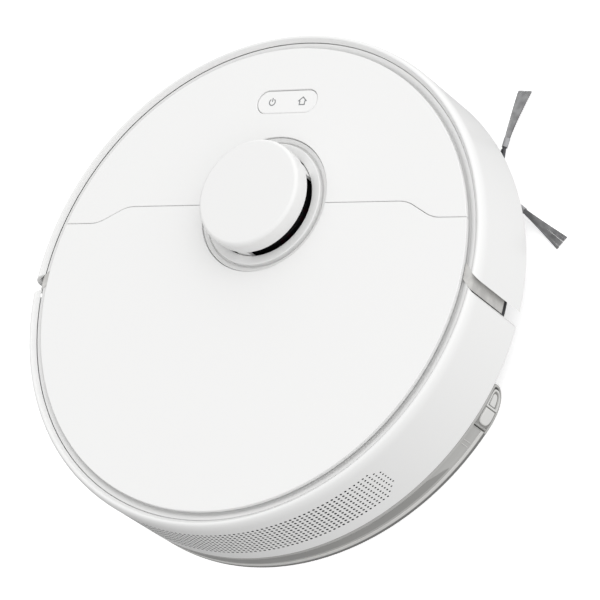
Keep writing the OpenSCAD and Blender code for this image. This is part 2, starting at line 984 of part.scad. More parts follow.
// Alternating soft blades along the brush
module brush_blades() color("#3f4247") {
    blades = 6;
    half = brush_l / 2 - 2;
    difference() {
        for (i = [0:blades - 1])
            translate([0, brush_y, brush_z])
                rotate([i * 360 / blades, 0, 0])
                    block([-half, -1.3, brush_core_r - 1], [half, 1.3, brush_r]);
        rod_x(brush_core_r, -far, far, brush_y, brush_z);
    }
}

// Frame that holds the brush in from below
module brush_guard() color("#4c4e52") {
    difference() {
        block([-tunnel_x + 0.3, brush_y - tunnel_r + 0.3, 0.2],
            [tunnel_x - 0.3, brush_y + tunnel_r - 0.3, floor_t - 0.2]);
        block([-tunnel_x + 5, brush_y - tunnel_r + 4, -1],
            [tunnel_x - 5, brush_y + tunnel_r - 4, 5]);
    }
}

// Motor lying on the tunnel, with the gear case that drives the brush
module brush_motor() color("#b9bbbe") {
    motor_y = -10;
    motor_z = 52.2;
    rod_x(9.5, 20, 58, motor_y, motor_z);
    rod_x(3, 58, 66, motor_y, motor_z);
    difference() {
        block([66, motor_y - 12, 26], [80, motor_y + 12, panel_z0 - 0.3]);
        rod_x(tunnel_r + tunnel_t + 0.02, 0, far, brush_y, brush_z);
    }
}

// ---------- side brush ----------

module side_brush_gearbox() color("#3b3d40") {
    translate([side_hub[0], side_hub[1], 0])
        difference() {
            side_gearbox_body(0);
            disc(2.6, 9, 26);
        }
}

module side_brush_hub() color("#2a2b2d") {
    translate([side_hub[0], side_hub[1], 0]) {
        disc(11, -4.6, 3);
        disc(2.5, 3, 24);
        for (i = [0:2])
            rotate([0, 0, side_angle + i * 120])
                difference() {
                    union() {
                        block([5, -4, -5.4], [side_arm_r - 5, 4, -2.4]);
                        translate([side_arm_r - 9, 0, 0]) rod_x(2.2, 0, 9, 0, -4.4);
                    }
                    block([side_arm_r - 14, -2, -4.8], [side_arm_r - 10, 2, -3.6]);
                }
    }
}

// Three flat bundles of bristles that fan out to the floor
module side_brush_tufts() color("#55565a") {
    tuft_l = side_brush_r - side_arm_r;
    translate([side_hub[0], side_hub[1], 0])
        for (i = [0:2])
            rotate([0, 0, side_angle + i * 120])
                translate([side_arm_r, 0, -4])
                    rotate([0, 8.5, 0])
                        translate([0, 0, -0.9])
                            linear_extrude(height = 1.8)
                                polygon([[0.3, -1.6], [tuft_l, -5.2], [tuft_l, 5.2], [0.3, 1.6]]);
}

// ---------- dustbin and fan ----------

module dustbin() color("#7d8288") {
    duct_x = duct_w / 2;
    difference() {
        block([-bin_x, bin_y0, bin_z0], [bin_x, bin_y1, bin_z1]);
        block([-bin_x + bin_t, bin_y0 + bin_t, bin_z0 + bin_t],
            [bin_x - bin_t, bin_y1 - bin_t, bin_z1 + 1]);
        // inlet from the brush duct
        block([-duct_x, bin_y1 - 5, duct_z0], [duct_x, bin_y1 + 1, duct_z1]);
        // outlet to the filter
        block([-34, bin_y0 - 1, 20], [34, bin_y0 + 5, 56]);
    }
}

module dustbin_lid() color("#8d9298") {
    difference() {
        union() {
            block([-bin_x, bin_y0, bin_z1 + 0.05], [bin_x, bin_y1, bin_z1 + 2]);
            // grip for lifting the bin out
            block([-26, -76, bin_z1 + 2], [26, -62, bin_z1 + 4]);
        }
        block([-22, -73, bin_z1 + 1], [22, -65, bin_z1 + 5]);
    }
}

// Pleated filter between the bin and the fan
module hepa_filter() color("#e6e4dc") {
    pleats = 12;
    pitch = 68 / pleats;
    difference() {
        block([-36, -112, 18.5], [36, bin_y0 - tiny, 58]);
        for (i = [0:pleats - 1])
            block([-34 + (i + 0.2) * pitch, -113, 22], [-34 + (i + 0.8) * pitch, -108, 54]);
    }
}

module fan_housing() color("#2e3033") {
    vanes = 8;
    difference() {
        rod_y(fan_r, fan_y0, fan_y1, 0, fan_z);
        rod_y(fan_r - 2, fan_y0 + 2, fan_y1 - 2, 0, fan_z);
        rod_y(9, fan_y1 - 5, fan_y1 + 1, 0, fan_z);
        for (i = [0:vanes - 1])
            translate([0, 0, fan_z])
                rotate([0, i * 360 / vanes, 0])
                    rod_y(2.6, fan_y0 - 1, fan_y0 + 5, 0, 15);
    }
    // motor fixed inside the housing
    rod_y(11, fan_y0 + 2, fan_y0 + 20, 0, fan_z);
    // foot
    difference() {
        block([-9, fan_y0 + 4, rear_floor_z + floor_t + 0.05], [9, fan_y1 - 4, fan_z - 12]);
        rod_y(fan_r - 1, -far, far, 0, fan_z);
    }
}

module fan_impeller() color("#c4c6c8") {
    blades = 9;
    y0 = fan_y0 + 21;
    rod_y(impeller_r, y0, y0 + 2, 0, fan_z);
    rod_y(5, y0, fan_y1 - 4, 0, fan_z);
    for (i = [0:blades - 1])
        translate([0, 0, fan_z])
            rotate([0, i * 360 / blades, 0])
                block([-0.6, y0 + 2, 4], [0.6, fan_y1 - 5, impeller_r]);
}

// ---------- water tank ----------

// Side view of the tank: its front edge ramps up over thresholds
module tank_side_section(top) {
    polygon([
        [-far, tank_z0], [-84, tank_z0], [-70, -6.4], [-58, -1.5], [tank_y, 5],
        [tank_y, top], [-far, top]
    ]);
}

module tank_ramp(top) {
    translate([-far, 0, 0])
        rotate([90, 0, 90])
            linear_extrude(height = 2 * far) tank_side_section(top);
}

// Room for the release latch at one end of the tank, seen from above
module latch_pocket(spread) {
    translate([latch_xy[0], latch_xy[1], 0])
        rotate([0, 0, -latch_angle])
            block([-9 - spread, -13 - spread, -7 - spread], [20, 13 + spread, 8 + spread]);
}

module water_tank() color("#8b8f93") {
    difference() {
        intersection() {
            disc(body_r, tank_z0, tank_z1);
            tank_ramp(tank_z1);
        }
        // water space
        difference() {
            disc(body_r - 8, -3, tank_z1 - tank_t);
            block([-far, -82, -10], [far, far, 20]);
        }
        // seat of the mop pad
        difference() {
            disc(pad_r + 1, tank_z0 - 1, tank_z0 + 1.2);
            block([-far, -87, -10], [far, far, 20]);
        }
        // filler hole
        translate([filler[0], filler[1], 0]) disc(7, 5, 20);
        both_sides() latch_pocket(0.4);
    }
}

module tank_plug() color("#4d4f53") {
    translate([filler[0], filler[1], 0])
        difference() {
            disc(6.9, tank_z1 - tank_t - 1, tank_z1 - 0.3);
            block([-5, -0.8, tank_z1 - 1.3], [5, 0.8, tank_z1 + 1]);
        }
}

// Washable cloth that touches the floor
module mop_pad() color("#9fa6ad") {
    intersection() {
        disc(pad_r, -clearance, tank_z0 + 1.1);
        block([-far, -far, -20], [far, -88, 20]);
    }
}

// Squeeze latch that releases the tank, on the right-hand end
module tank_latch() color("#a9adb1") {
    intersection() {
        latch_pocket(0);
        tube(body_r - 0.2, body_r - 6, -20, 20);
        tank_ramp(tank_z1);
    }
}

// ---------- the whole robot ----------

module suspension_spring_left() { mirror([1, 0, 0]) suspension_spring(); }
module suspension_spring_right() { suspension_spring(); }
module gearbox_left() { mirror([1, 0, 0]) gearbox(); }
module gearbox_right() { gearbox(); }
module tyre_left() { mirror([1, 0, 0]) tyre(); }
module tyre_right() { tyre(); }
module wheel_hub_left() { mirror([1, 0, 0]) wheel_hub(); }
module wheel_hub_right() { wheel_hub(); }
module tank_latch_left() { mirror([1, 0, 0]) tank_latch(); }
module tank_latch_right() { tank_latch(); }

bottom_housing();
mid_frame();
rim_ring();
front_cover();
rear_shell();
end_seals();
exhaust_foam();
turret_base();
lidar_base();
lidar_motor();
lidar_belt();
lid_hinge_pins();
bay_panel();
brush_tunnel();
brush_guard();
brush_motor();
side_brush_gearbox();
battery_pack();
battery_cover();
main_board();
charging_contacts();
cliff_sensors();
dustbin();
dustbin_lid();
hepa_filter();
fan_housing();
wheel_housings();
suspension_pins();
suspension_spring_left();
suspension_spring_right();
bumper_sensors();
key_board();
speaker();
underside_screws();
bumper_shell();
bumper_window();
rear_lid();
lid_hinge_arms();
key_plate();
turret_cover();
lidar_rotor();
lidar_pulley();
gearbox_left();
gearbox_right();
tyre_left();
tyre_right();
wheel_hub_left();
wheel_hub_right();
caster_fork();
caster_wheel();
brush_core();
brush_blades();
side_brush_hub();
side_brush_tufts();
fan_impeller();
water_tank();
tank_plug();
mop_pad();
tank_latch_left();
tank_latch_right();
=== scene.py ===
"""The robot vacuum's looks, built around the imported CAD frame, with +Y as its front.

Shapes are worked out in millimetres, and make_piece turns them into metres. Materials, lights and
the camera are in metres throughout."""

import math
import random

import bmesh
import bpy
from mathutils import Matrix, Vector
from mathutils.geometry import tessellate_polygon


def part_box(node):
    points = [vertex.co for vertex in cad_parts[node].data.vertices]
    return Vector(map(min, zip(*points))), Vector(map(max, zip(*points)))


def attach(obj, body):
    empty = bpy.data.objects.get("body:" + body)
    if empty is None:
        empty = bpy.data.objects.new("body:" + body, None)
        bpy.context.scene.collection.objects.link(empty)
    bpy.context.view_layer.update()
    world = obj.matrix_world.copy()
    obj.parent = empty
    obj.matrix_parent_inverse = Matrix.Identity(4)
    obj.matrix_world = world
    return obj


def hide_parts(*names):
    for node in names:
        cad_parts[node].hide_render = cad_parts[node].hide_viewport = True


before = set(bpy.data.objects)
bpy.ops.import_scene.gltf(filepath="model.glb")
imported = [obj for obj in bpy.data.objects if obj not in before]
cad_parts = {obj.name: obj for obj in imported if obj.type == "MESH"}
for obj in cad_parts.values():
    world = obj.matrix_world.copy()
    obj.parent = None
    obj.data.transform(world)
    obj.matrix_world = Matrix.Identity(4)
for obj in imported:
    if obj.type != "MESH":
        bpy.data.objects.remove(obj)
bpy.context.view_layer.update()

MM = 0.001
DEG = math.pi / 180


def box(node):
    """A CAD node's lowest and highest corners, in millimetres."""
    low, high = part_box(node)
    return Vector(low) / MM, Vector(high) / MM


# Places and sizes read from the frame
BUMPER_LOW, BUMPER_HIGH = box("bumper_shell")
BODY_R = BUMPER_HIGH.y
SIDE_Z = BUMPER_LOW.z
COVER_HIGH = box("front_cover")[1]
DECK_R = COVER_HIGH.y
DECK_Z = COVER_HIGH.z
COVER_T = 3
RIM_Z = box("rim_ring")[1].z
LIP_Z = RIM_Z + 0.26
FRAME_R = box("mid_frame")[1].y
WALL = 2.2
WINDOW_LOW, WINDOW_HIGH = box("bumper_window")
KEY_LOW, KEY_HIGH = box("key_plate")
KEY_Y = (KEY_LOW.y + KEY_HIGH.y) / 2
TANK_LOW, TANK_HIGH = box("water_tank")

TURRET_LOW, TURRET_HIGH = box("turret_cover")
TURRET = Vector((0, (TURRET_LOW.y + TURRET_HIGH.y) / 2))
CAP_R = (TURRET_HIGH.x - TURRET_LOW.x) / 2
CAP_TOP = TURRET_HIGH.z
CAP_Z = CAP_TOP - 13.1
TURRET_HOLE_R = 48.1
KEY_W = 48
KEY_D = 17

# Slanted ends of the bumper and of the rear shell, as |x| + y on each cut
BUMPER_CUT = 172
REAR_CUT = 161

# Seam between the front cover and the lid
SEAM_Y = TURRET.y
SEAM_SIDE_Y = 38.9
SEAM_KINK_IN = 111.3
SEAM_KINK_OUT = 133
SEAM_GAP = 0.14
SEAM_SOFT = 24


# ---------- mesh tools ----------

replaced = set()


def add_object(name, data):
    """Puts a mesh, a lamp or a camera into the scene."""
    item = bpy.data.objects.new(name, data)
    bpy.context.scene.collection.objects.link(item)
    return item


def make_piece(name, bm, body, material, node, crease=32):
    """Turns a bmesh in millimetres into a piece in the given material that rides on a body, in place of a
    CAD node.

    The first piece made for a node stands in for it."""
    bmesh.ops.remove_doubles(bm, verts=bm.verts, dist=0.002)
    bmesh.ops.recalc_face_normals(bm, faces=bm.faces)
    bmesh.ops.scale(bm, vec=(MM, MM, MM), verts=bm.verts)
    mesh = bpy.data.meshes.new(name)
    bm.to_mesh(mesh)
    bm.free()
    for polygon in mesh.polygons:
        polygon.use_smooth = True
    mesh.set_sharp_from_angle(angle=crease * DEG)
    mesh.materials.append(material)
    piece = add_object(name, mesh)
    even = piece.modifiers.new("flat_faces_stay_flat", "WEIGHTED_NORMAL")
    even.keep_sharp = True
    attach(piece, body)
    if node not in replaced:
        replaced.add(node)
        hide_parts(node)
    return piece


def arc(centre, radius, start, end, steps):
    """Points of an arc in a plane, from start to end degrees."""
    turns = [(start + (end - start) * i / steps) * DEG for i in range(steps + 1)]
    return [(centre[0] + radius * math.cos(a), centre[1] + radius * math.sin(a)) for a in turns]


def round_corners(points, radius, steps=4):
    """Rounds the corners of a closed outline; radius is one number or one per point."""
    out = []
    for i, point in enumerate(points):
        r = radius[i] if isinstance(radius, (list, tuple)) else radius
        here = Vector(point)
        before = Vector(points[i - 1]) - here
        after = Vector(points[(i + 1) % len(points)]) - here
        half = before.angle(after, 0) / 2
        if r <= 0 or half == 0 or half > 89 * DEG:
            out.append(tuple(here))
            continue
        reach = min(r / math.tan(half), before.length * 0.48, after.length * 0.48)
        start = here + before.normalized() * reach
        end = here + after.normalized() * reach
        for k in range(steps + 1):
            t = k / steps
            out.append(tuple(start * (1 - t) ** 2 + here * (2 * t * (1 - t)) + end * t ** 2))
    return out


def rectangle(left, right, low, high, radius, steps=4):
    """A rectangle's outline, counter-clockwise from its lower left, with rounded corners."""
    return round_corners([(left, low), (right, low), (right, high), (left, high)], radius, steps)


def subdivide(points, longest):
    """Adds points so that no stretch of an open line is longer than longest."""
    out = [points[0]]
    for a, b in zip(points, points[1:]):
        a, b = Vector(a), Vector(b)
        parts = max(1, math.ceil((b - a).length / longest))
        out += [tuple(a.lerp(b, i / parts)) for i in range(1, parts + 1)]
    return out


def grid_faces(bm, rings, close_ring=True, close_rows=False, paint=0):
    """Quads between consecutive rings of vertices; paint is the number of their material."""
    rows = len(rings)
    for i in range(rows if close_rows else rows - 1):
        a = rings[i]
        b = rings[(i + 1) % rows]
        count = len(a)
        for k in range(count if close_ring else count - 1):
            n = (k + 1) % count
            corners = [a[k], a[n], b[n], b[k]]
            if len(set(corners)) == 4:
                bm.faces.new(corners).material_index = paint


def cap_ring(bm, ring):
    """Closes a ring of vertices with one face."""
    try:
        bm.faces.new(ring)
    except ValueError:
        pass


def cap_ends(bm, rings):
    """Closes both ends of a run of rings."""
    cap_ring(bm, rings[0])
    cap_ring(bm, rings[-1])


def polar(bm, r, a, z, centre=(0, 0)):
    """A vertex at a radius, angle and height about an upright axis."""
    return bm.verts.new((centre[0] + r * math.cos(a), centre[1] + r * math.sin(a), z))


def lathe(profile, steps=180, centre=(0, 0), bm=None):
    """A full turn of a closed or axis-to-axis profile of (radius, height) about an upright axis."""
    bm = bm or bmesh.new()
    closed = profile[0][0] > 0 or profile[-1][0] > 0
    turns = [2 * math.pi * i / steps for i in range(steps)]
    rings = [[polar(bm, r, a, z, centre) for r, z in profile] for a in turns]
    grid_faces(bm, rings, close_ring=closed, close_rows=True)
    return bm


def lathe_arc(profile, span, steps, centre=(0, 0), bm=None):
    """Part of a turn; span is its first and last angle, or a function that gives them for a radius."""
    bm = bm or bmesh.new()
    rings = []
    for i in range(steps + 1):
        ring = []
        for r, z in profile:
            start, end = span(r) if callable(span) else span
            ring.append(polar(bm, r, start + (end - start) * i / steps, z, centre))
        rings.append(ring)
    grid_faces(bm, rings)
    cap_ends(bm, rings)
    return bm


def inset(loop, distance):
    """Moves a closed outline towards its left-hand side."""
    out = []
    for i, point in enumerate(loop):
        here = Vector(point)
        ahead = (Vector(loop[(i + 1) % len(loop)]) - here).normalized()
        behind = (here - Vector(loop[i - 1])).normalized()
        side = Vector((-ahead.y, ahead.x))
        middle = side + Vector((-behind.y, behind.x))
        middle = side if middle.length < 1e-6 else middle.normalized()
        out.append(here + middle * (distance / max(0.35, middle.dot(side))))
    return out


def edge_steps(z0, z1, r_top, r_bottom, steps):
    """(inset, height) pairs up the rounded edge of a plate."""
    turns = [math.pi / 2 * i / steps for i in range(steps + 1)]
    foot = [(r_bottom * (1 - math.sin(a)), z0 + r_bottom * (1 - math.cos(a))) for a in turns]
    top = [(r_top * (1 - math.cos(a)), z1 - r_top + r_top * math.sin(a)) for a in turns]
    return (foot if r_bottom > 0 else [(0, z0)]) + top


def plate(loops, z0, z1, r_top=0.4, r_bottom=0.0, steps=3, lower=None, pairs=None):
    """A flat plate with rounded edges. The first loop runs counter-clockwise, holes run clockwise.

    lower(point, height) may move the points of the side walls, to undercut an edge, and pairs may
    give the walls' own (inset, height) steps."""
    bm = bmesh.new()
    ends = []
    for loop in loops:
        rings = []
        for distance, z in pairs or edge_steps(z0, z1, r_top, r_bottom, steps):
            points = inset(loop, distance) if distance > 0 else [Vector(p) for p in loop]
            if lower:
                points = [lower(p, z) for p in points]
            rings.append([bm.verts.new((p.x, p.y, z)) for p in points])
        grid_faces(bm, rings)
        ends.append((rings[0], rings[-1]))
    for level in zip(*ends):
        flat = [v for ring in level for v in ring]
        for tri in tessellate_polygon([[v.co.copy() for v in ring] for ring in level]):
            cap_ring(bm, [flat[i] for i in tri])
    return bm


def pill_loop(width, depth, centre, steps=28):
    """A pill's outline about a centre, counter-clockwise."""
    r = depth / 2
    reach = (width - depth) / 2
    return (arc((centre[0] + reach, centre[1]), r, -90, 90, steps)
            + arc((centre[0] - reach, centre[1]), r, 90, 270, steps))


def moved(bm, matrix):
    """Moves, turns or mirrors a whole bmesh."""
    bmesh.ops.transform(bm, matrix=matrix, verts=bm.verts)
    return bm


def sliced(bm, places, normal):
    """Cuts a mesh along parallel planes, so that it can bend there."""
    for place in places:
        geometry = bm.verts[:] + bm.edges[:] + bm.faces[:]
        bmesh.ops.bisect_plane(bm, geom=geometry, plane_co=Vector(normal) * place, plane_no=normal)
    return bm


def wrap(bm, angle, mirror=False):
    """Bends a plate of (along, height, radius) coordinates round the body's axis, about an angle."""
    step = 3
    cuts = int(max(abs(v.co.x) for v in bm.verts) / step)
    sliced(bm, [i * step for i in range(-cuts, cuts + 1)], (1, 0, 0))
    for v in bm.verts:
        along, height, radius = v.co
        a = angle - along / BODY_R
        v.co = Vector((radius * math.cos(a) * (-1 if mirror else 1), radius * math.sin(a), height))
    return bm


def around_x(centre, x, r, a):
    """The place at x along, and at a radius and angle about, an axis along X through a centre."""
    return centre + Vector((x, r * math.cos(a), r * math.sin(a)))


def box_bm(low, high, bevel, segments=2):
    """A box with rounded edges, between two corners."""
    bm = bmesh.new()
    bmesh.ops.create_cube(bm, size=1)
    low, high = Vector(low), Vector(high)
    for v in bm.verts:
        v.co = (high + low) / 2 + v.co * (high - low)
    bmesh.ops.bevel(bm, geom=bm.edges[:], offset=bevel, segments=segments, profile=0.5, affect="EDGES")
    return bm


def join_bm(target, source, matrix=None):
    """Copies source's geometry into target and frees source."""
    if matrix is not None:
        moved(source, matrix)
    mesh = bpy.data.meshes.new("scratch")
    source.to_mesh(mesh)
    source.free()
    target.from_mesh(mesh)
    bpy.data.meshes.remove(mesh)
    return target


def ring_about(bm, centre, along, radius, sides):
    """A ring of vertices round a line."""
    side = along.orthogonal().normalized()
    other = along.cross(side)
    turns = [2 * math.pi * k / sides for k in range(sides)]
    return [bm.verts.new(centre + (side * math.cos(a) + other * math.sin(a)) * radius) for a in turns]


def rod(bm, start, end, r0, r1, sides):
    """A tapered rod between two points."""
    start, end = Vector(start), Vector(end)
    along = (end - start).normalized()
    rings = [ring_about(bm, start, along, r0, sides), ring_about(bm, end, along, r1, sides)]
    grid_faces(bm, rings)
    cap_ends(bm, rings)
    return bm


def hair(bm, points, radius):
    """A thin tapered filament through a few points."""
    rings = []
    last = len(points) - 1
    for i, point in enumerate(points):
        ahead = Vector(points[min(i + 1, last)]) - Vector(points[max(i - 1, 0)])
        taper = 1 - 0.45 * i / last
        rings.append(ring_about(bm, Vector(point), ahead.normalized(), radius * taper, 3))
    grid_faces(bm, rings)
    cap_ends(bm, rings)


# ---------- material tools ----------

class Shader:
    """A small builder for procedural materials in object coordinates."""

    def __init__(self, name):
        self.material = bpy.data.materials.new(name)
        self.material.use_nodes = True
        self.nodes = self.material.node_tree.nodes
        self.links = self.material.node_tree.links
        self.surface = self.nodes["Principled BSDF"]
        self.coords = self.nodes.new("ShaderNodeTexCoord").outputs["Object"]

    def feed(self, socket, value):
        """Links another node's output to a socket, or sets the socket's own value."""
        if isinstance(value, bpy.types.NodeSocket):
            self.links.new(value, socket)
        else:
            socket.default_value = value

    def node(self, kind, **inputs):
        """Adds a node and sets or links its inputs."""
        node = self.nodes.new(kind)
        for name, value in inputs.items():
            self.feed(node.inputs[name.replace("_", " ")], value)
        return node

    def set(self, **values):
        """Sets or links the surface's own sockets."""
        for name, value in values.items():
            self.feed(self.surface.inputs[name.replace("_", " ")], value)
        return self

    def noise(self, scale, detail=2.0, roughness=0.5, stretch=None):
        """Cloudy noise, which stretch squeezes along the axes."""
        place = self.coords
        if stretch:
            place = self.node("ShaderNodeMapping", Vector=place, Scale=stretch).outputs["Vector"]
        return self.node("ShaderNodeTexNoise", Vector=place, Scale=scale, Detail=detail,
                         Roughness=roughness).outputs["Fac"]

    def cells(self, scale):
        """Distance from the middle of the nearest random cell."""
        return self.node("ShaderNodeTexVoronoi", Vector=self.coords, Scale=scale).outputs["Distance"]

    def waves(self, scale, distortion):
        """Wavy bands."""
        return self.node("ShaderNodeTexWave", Vector=self.coords, Scale=scale,
                         Distortion=distortion).outputs["Fac"]

    def ramp(self, factor, low, colour_low, high, colour_high):
        """One colour below the factor's low value, another above its high one."""
        node = self.node("ShaderNodeValToRGB", Fac=factor)
        for element, place, colour in zip(node.color_ramp.elements, (low, high), (colour_low, colour_high)):
            element.position = place
            element.color = (*colour, 1)
        return node.outputs["Color"]

    def spread(self, factor, low, high, from_low=0.3, from_high=0.7):
        """Spreads a factor's usual range over another one."""
        node = self.node("ShaderNodeMapRange", Value=factor, From_Min=from_low, From_Max=from_high,
                         To_Min=low, To_Max=high)
        return node.outputs["Result"]

    def blend(self, factor, a, b):
        """Colour a where the factor is 0, b where it is 1."""
        node = self.nodes.new("ShaderNodeMix")
        node.data_type = "RGBA"
        socket_a, socket_b = [socket for socket in node.inputs if socket.type == "RGBA"]
        self.feed(node.inputs["Factor"], factor)
        self.feed(socket_a, (*a, 1) if isinstance(a, tuple) else a)
        self.feed(socket_b, (*b, 1) if isinstance(b, tuple) else b)
        return [socket for socket in node.outputs if socket.type == "RGBA"][0]

    def edges(self, low=0.5, high=0.56):
        """1 on sharp outward edges, from the mesh's pointiness."""
        node = self.nodes.new("ShaderNodeNewGeometry")
        return self.spread(node.outputs["Pointiness"], 0.0, 1.0, low, high)

    def bump(self, height, strength, distance):
        """Adds relief, on top of any that is already there."""
        node = self.node("ShaderNodeBump", Height=height, Strength=strength, Distance=distance)
        normal = self.surface.inputs["Normal"]
        if normal.is_linked:
            self.links.new(normal.links[0].from_socket, node.inputs["Normal"])
        self.links.new(node.outputs["Normal"], normal)
        return self


def shade(colour, factor):
    """A lighter or darker version of a colour."""
    return tuple(min(1.0, c * factor) for c in colour)


def glossy_white(name, colour, roughness=0.3, tone=0.004):
    """Injection-moulded white shell: faint tone drift, orange peel and roughness changes."""
    s = Shader(name)
    s.set(Base_Color=s.ramp(s.noise(14, 1), 0.2, shade(colour, 1 - tone), 0.8, colour),
          Roughness=s.spread(s.noise(9, 1), roughness - 0.01, roughness + 0.01),
          IOR=1.49, Coat_Weight=0.12, Coat_Roughness=0.18)
    return s.bump(s.noise(260, 1), 0.02, 0.01 * MM).material


def moulded(name, colour, roughness=0.5, grain=0.7 * MM, depth=0.03 * MM):
    """Grained matt plastic, lighter along its sharp outward edges."""
    s = Shader(name)
    body = s.ramp(s.noise(28, 3), 0.3, shade(colour, 0.92), 0.7, shade(colour, 1.08))
    # the colour is made lighter on sharp outward edges, found from the mesh's pointiness
    lighter_edges = s.blend(s.edges(), body, shade(colour, 1.48))
    s.set(Base_Color=s.blend(0.6, body, lighter_edges),
          Roughness=s.spread(s.noise(90, 3), roughness - 0.07, roughness + 0.08), IOR=1.47)
    return s.bump(s.noise(1 / grain, 2), 0.35, depth).material


def rubber(name, colour, roughness=0.75):
    """Soft rubber with a dusty bloom."""
    s = Shader(name)
    s.set(Base_Color=s.ramp(s.noise(120, 4, 0.6), 0.35, colour, 0.75, shade(colour, 1.35)),
          Roughness=s.spread(s.noise(300, 2), roughness - 0.1, roughness + 0.1), IOR=1.5)
    return s.bump(s.noise(1500, 3), 0.3, 0.03 * MM).material


def metal(name, colour, roughness=0.32, brushed=(1, 1, 1)):
    """Plain or brushed metal with fine streaks and handling marks."""
    s = Shader(name)
    streaks = s.noise(900, 3, 0.6, brushed)
    s.set(Base_Color=s.ramp(streaks, 0.3, shade(colour, 0.86), 0.7, colour),
          Roughness=s.spread(s.noise(70, 3), roughness - 0.08, roughness + 0.12), Metallic=1.0)
    return s.bump(streaks, 0.12, 0.01 * MM).material


def smoked(name, colour, roughness=0.16):
    """Smoked clear plastic, dark and glossy, with faint flow lines."""
    s = Shader(name)
    flow = s.noise(40, 2, 0.5, (1, 1, 4))
    s.set(Base_Color=s.ramp(flow, 0.3, shade(colour, 0.96), 0.7, shade(colour, 1.04)),
          Roughness=s.spread(s.noise(50, 2), roughness - 0.02, roughness + 0.03),
          IOR=1.5, Coat_Weight=0.25, Coat_Roughness=0.08)
    return s.bump(s.noise(700, 2), 0.05, 0.01 * MM).material


def foam(name, colour):
    """Open-cell foam, its pores darkened as painted shade inside them."""
    s = Shader(name)
    pores = s.cells(900)
    # the pores are darkened in the colour: painted shade inside them
    s.set(Base_Color=s.ramp(pores, 0.15, shade(colour, 0.3), 0.6, colour), Roughness=0.95)
    return s.bump(pores, 0.9, 0.3 * MM).material


def circuit_board(name, colour):
    """Solder mask with copper traces and speckled pads."""
    s = Shader(name)
    traces = s.waves(260, 6.0)
    mask = s.ramp(traces, 0.45, colour, 0.55, shade(colour, 1.45))
    pads = s.ramp(s.cells(330), 0.08, (1, 1, 1), 0.12, (0, 0, 0))
    s.set(Base_Color=s.blend(pads, mask, (0.62, 0.56, 0.4)), Roughness=0.38)
    return s.bump(traces, 0.3, 0.03 * MM).material


def pleated(name, colour):
    """Filter paper with fibres."""
    s = Shader(name)
    fibres = s.noise(1600, 4, 0.7, (1, 1, 0.2))
    s.set(Base_Color=s.ramp(fibres, 0.3, shade(colour, 0.84), 0.7, colour), Roughness=0.9)
    return s.bump(fibres, 0.5, 0.05 * MM).material


def bristle(name, colour):
    """Nylon filament with slight colour change along its length."""
    s = Shader(name)
    s.set(Base_Color=s.ramp(s.noise(160, 2), 0.3, shade(colour, 0.7), 0.7, shade(colour, 1.3)),
          Roughness=s.spread(s.noise(500, 2), 0.35, 0.55), IOR=1.53)
    return s.material


def microfibre(name, colour):
    """Looped microfibre: nap, weave rows and a soft sheen."""
    s = Shader(name)
    nap = s.noise(1400, 5, 0.7)
    s.set(Base_Color=s.ramp(nap, 0.25, shade(colour, 0.6), 0.75, shade(colour, 1.18)),
          Roughness=0.95, Sheen_Weight=0.4, Sheen_Roughness=0.5)
    s.bump(s.waves(430, 1.5), 0.4, 0.25 * MM)
    return s.bump(nap, 0.8, 0.3 * MM).material


WHITE = (0.86, 0.86, 0.855)
M_DECK = glossy_white("white_deck", WHITE, 0.34)
M_SHELL = glossy_white("white_shell", WHITE, 0.3)
M_RIM = glossy_white("white_rim", (0.79, 0.79, 0.785), 0.42)
M_CAP = glossy_white("white_cap", (0.84, 0.84, 0.835), 0.38)
M_TURRET = glossy_white("white_turret_base", (0.8, 0.8, 0.795), 0.4)
M_KEY = glossy_white("white_key", (0.87, 0.87, 0.865), 0.36)
M_LATCH = glossy_white("latch_grey_white", (0.72, 0.72, 0.705), 0.3)
M_ICON = moulded("icon_grey", (0.16, 0.165, 0.17), 0.45, 0.4 * MM, 0.01 * MM)
M_DARK = moulded("dark_frame", (0.035, 0.036, 0.039), 0.5)
M_ROTOR = moulded("rotor_grey", (0.7, 0.7, 0.7), 0.45, 0.6 * MM, 0.02 * MM)
M_SIDE_HUB = moulded("side_brush_grey", (0.05, 0.05, 0.055), 0.45)
M_FERRULE = moulded("ferrule_grey", (0.3, 0.3, 0.31), 0.4, 0.4 * MM, 0.01 * MM)
M_WHEEL_HUB = moulded("wheel_grey", (0.1, 0.1, 0.105), 0.45)
M_CASTER = moulded("caster_white", (0.6, 0.6, 0.6), 0.4)
M_CORE = moulded("brush_core_orange", (0.45, 0.085, 0.03), 0.42)
M_CHASSIS = moulded("chassis_black", (0.03, 0.031, 0.034), 0.52)
M_INNER = moulded("inner_grey", (0.075, 0.077, 0.083), 0.5)
M_HOUSING = moulded("housing_grey", (0.055, 0.057, 0.062), 0.48)
M_BATTERY = moulded("battery_wrap", (0.02, 0.035, 0.07), 0.35)
M_ARM = moulded("hinge_white", (0.7, 0.7, 0.7), 0.4)
M_IMPELLER = moulded("impeller_grey", (0.5, 0.5, 0.51), 0.4)
M_GUARD = moulded("guard_grey", (0.07, 0.072, 0.078), 0.42)
M_BLACK_GLOSS = smoked("black_gloss", (0.008, 0.008, 0.009), 0.1)
M_LENS = smoked("lens", (0.02, 0.004, 0.006), 0.05)
M_TANK = smoked("tank_smoke", (0.45, 0.447, 0.435), 0.2)
M_TANK_DARK = smoked("tank_smoke_dark", (0.3, 0.298, 0.288), 0.22)
M_TANK_KEEL = smoked("tank_keel", (0.16, 0.16, 0.155), 0.25)
M_TANK_RAIL = smoked("tank_rail", (0.66, 0.655, 0.64), 0.2)
M_BIN = smoked("dustbin_smoke", (0.16, 0.17, 0.185), 0.14)
M_BIN_LID = smoked("dustbin_lid_smoke", (0.21, 0.22, 0.235), 0.2)
M_SEAL = rubber("seal_grey", (0.5, 0.495, 0.48), 0.6)
M_TYRE = rubber("tyre_rubber", (0.012, 0.012, 0.013), 0.8)
M_BLADE = rubber("blade_rubber", (0.045, 0.05, 0.055), 0.55)
